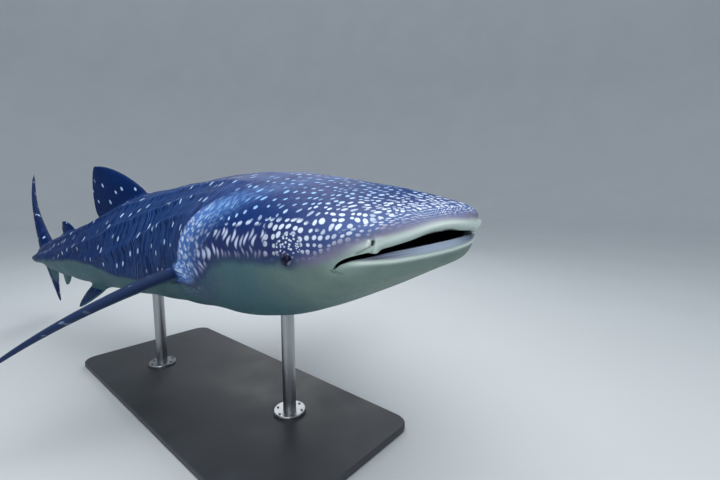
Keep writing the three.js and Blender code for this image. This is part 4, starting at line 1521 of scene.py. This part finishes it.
def add_bolts(rod, steel):
    low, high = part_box(rod)
    centre = ((low.x + high.x) / 2, (low.y + high.y) / 2)
    shape = bmesh.new()
    for i in range(BOLTS):
        turn = (i + 0.5) / BOLTS * 2 * math.pi
        spot = Vector((centre[0] + BOLT_CIRCLE * math.cos(turn), centre[1] + BOLT_CIRCLE * math.sin(turn),
                       FLANGE_TOP + BOLT_HEIGHT / 2))
        made = bmesh.ops.create_cone(shape, cap_ends=True, segments=6, radius1=BOLT_RADIUS,
                                     radius2=BOLT_RADIUS * 0.94, depth=BOLT_HEIGHT)
        bmesh.ops.translate(shape, verts=made["verts"], vec=spot)
    mesh = bpy.data.meshes.new(rod + "_bolts")
    shape.to_mesh(mesh)
    shape.free()
    bolts = bpy.data.objects.new(rod + "_bolts", mesh)
    bpy.context.scene.collection.objects.link(bolts)
    bolts.data.materials.append(steel)
    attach(bolts, "root")


# Studio: a round floor that bends up into a wall
FLOOR_RADIUS = 16.0
WALL_BEND = 8.0
WALL_TOP = 16.0
BEND_STEPS = 24
FLOOR_POINTS = 128
FLOOR_DROP = 0.0005


def add_stage(material):
    profile = [(0.0, 0.0), (FLOOR_RADIUS, 0.0)]
    for i in range(1, BEND_STEPS + 1):
        turn = i / BEND_STEPS * math.pi / 2
        profile.append((FLOOR_RADIUS + WALL_BEND * math.sin(turn), WALL_BEND - WALL_BEND * math.cos(turn)))
    profile.append((FLOOR_RADIUS + WALL_BEND, WALL_TOP))
    turns = np.arange(FLOOR_POINTS) / FLOOR_POINTS * 2 * math.pi
    points, faces = [], []
    for radius, height in profile:
        for turn in turns:
            points.append((radius * math.cos(turn), radius * math.sin(turn), height - FLOOR_DROP))
    for i in range(len(profile) - 1):
        for j in range(FLOOR_POINTS):
            a, b = i * FLOOR_POINTS + j, i * FLOOR_POINTS + (j + 1) % FLOOR_POINTS
            faces.append((a, b, b + FLOOR_POINTS, a + FLOOR_POINTS))
    floor = mesh_object("studio_floor", points, faces)
    smooth(floor.data)
    floor.data.materials.append(material)


# Lights: name, place, the point it faces, width and power
LIGHTS = (
    ("overhead", (1.2, -0.8, 5.2), (0.6, -0.1, 1.0), 6.0, 175),
    ("front_fill", (4.2, -3.4, 2.6), (1.2, -0.2, 1.1), 3.0, 45),
    ("rear_glow", (-3.5, 3.5, 4.0), (-0.8, 0.0, 1.0), 4.0, 80),
)
WORLD_STRENGTH = 0.62


def add_light(name, place_at, aim, size, power):
    light = bpy.data.lights.new(name, "AREA")
    light.shape = "DISK"
    light.size = size
    light.energy = power
    holder = bpy.data.objects.new(name, light)
    holder.location = place_at
    holder.rotation_euler = (Vector(aim) - Vector(place_at)).to_track_quat("-Z", "Y").to_euler()
    bpy.context.scene.collection.objects.link(holder)


def add_world():
    world = bpy.data.worlds.new("studio")
    bpy.context.scene.world = world
    world.use_nodes = True
    background = world.node_tree.nodes["Background"]
    background.inputs["Color"].default_value = paint(226, 234, 242)
    background.inputs["Strength"].default_value = WORLD_STRENGTH


# Camera, in the photograph's place
CAMERA_PLACE = (2.3157, -1.2468, 1.3315)
CAMERA_AIM = (-0.6477, 0.7521, -0.1223)
CAMERA_LENS = 19.16


def add_camera():
    camera = bpy.data.cameras.new("camera")
    camera.lens = CAMERA_LENS
    camera.sensor_width = 36.0
    camera.clip_start = 0.02
    camera.clip_end = 200.0
    holder = bpy.data.objects.new("camera", camera)
    holder.location = CAMERA_PLACE
    holder.rotation_euler = Vector(CAMERA_AIM).to_track_quat("-Z", "Y").to_euler()
    bpy.context.scene.collection.objects.link(holder)
    bpy.context.scene.camera = holder


def main():
    groups = {"spots": spot_field(), "grain": fine_grain()}
    add_camera()
    add_skin(skin_material(groups))
    eye = eye_material(groups)
    for side in (1, -1):
        add_eye(side, eye)
    steel = brushed_steel_material(groups)
    stand = {"stand_base": painted_base_material(groups), "stand_rod_front": steel, "stand_rod_rear": steel}
    for name, finish in stand.items():
        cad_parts[name].data.materials.clear()
        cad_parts[name].data.materials.append(finish)
        if finish is steel:
            add_bolts(name, steel)
    add_stage(stage_material(groups))
    add_world()
    for light in LIGHTS:
        add_light(*light)
    bpy.context.scene.view_settings.view_transform = "Standard"


main()
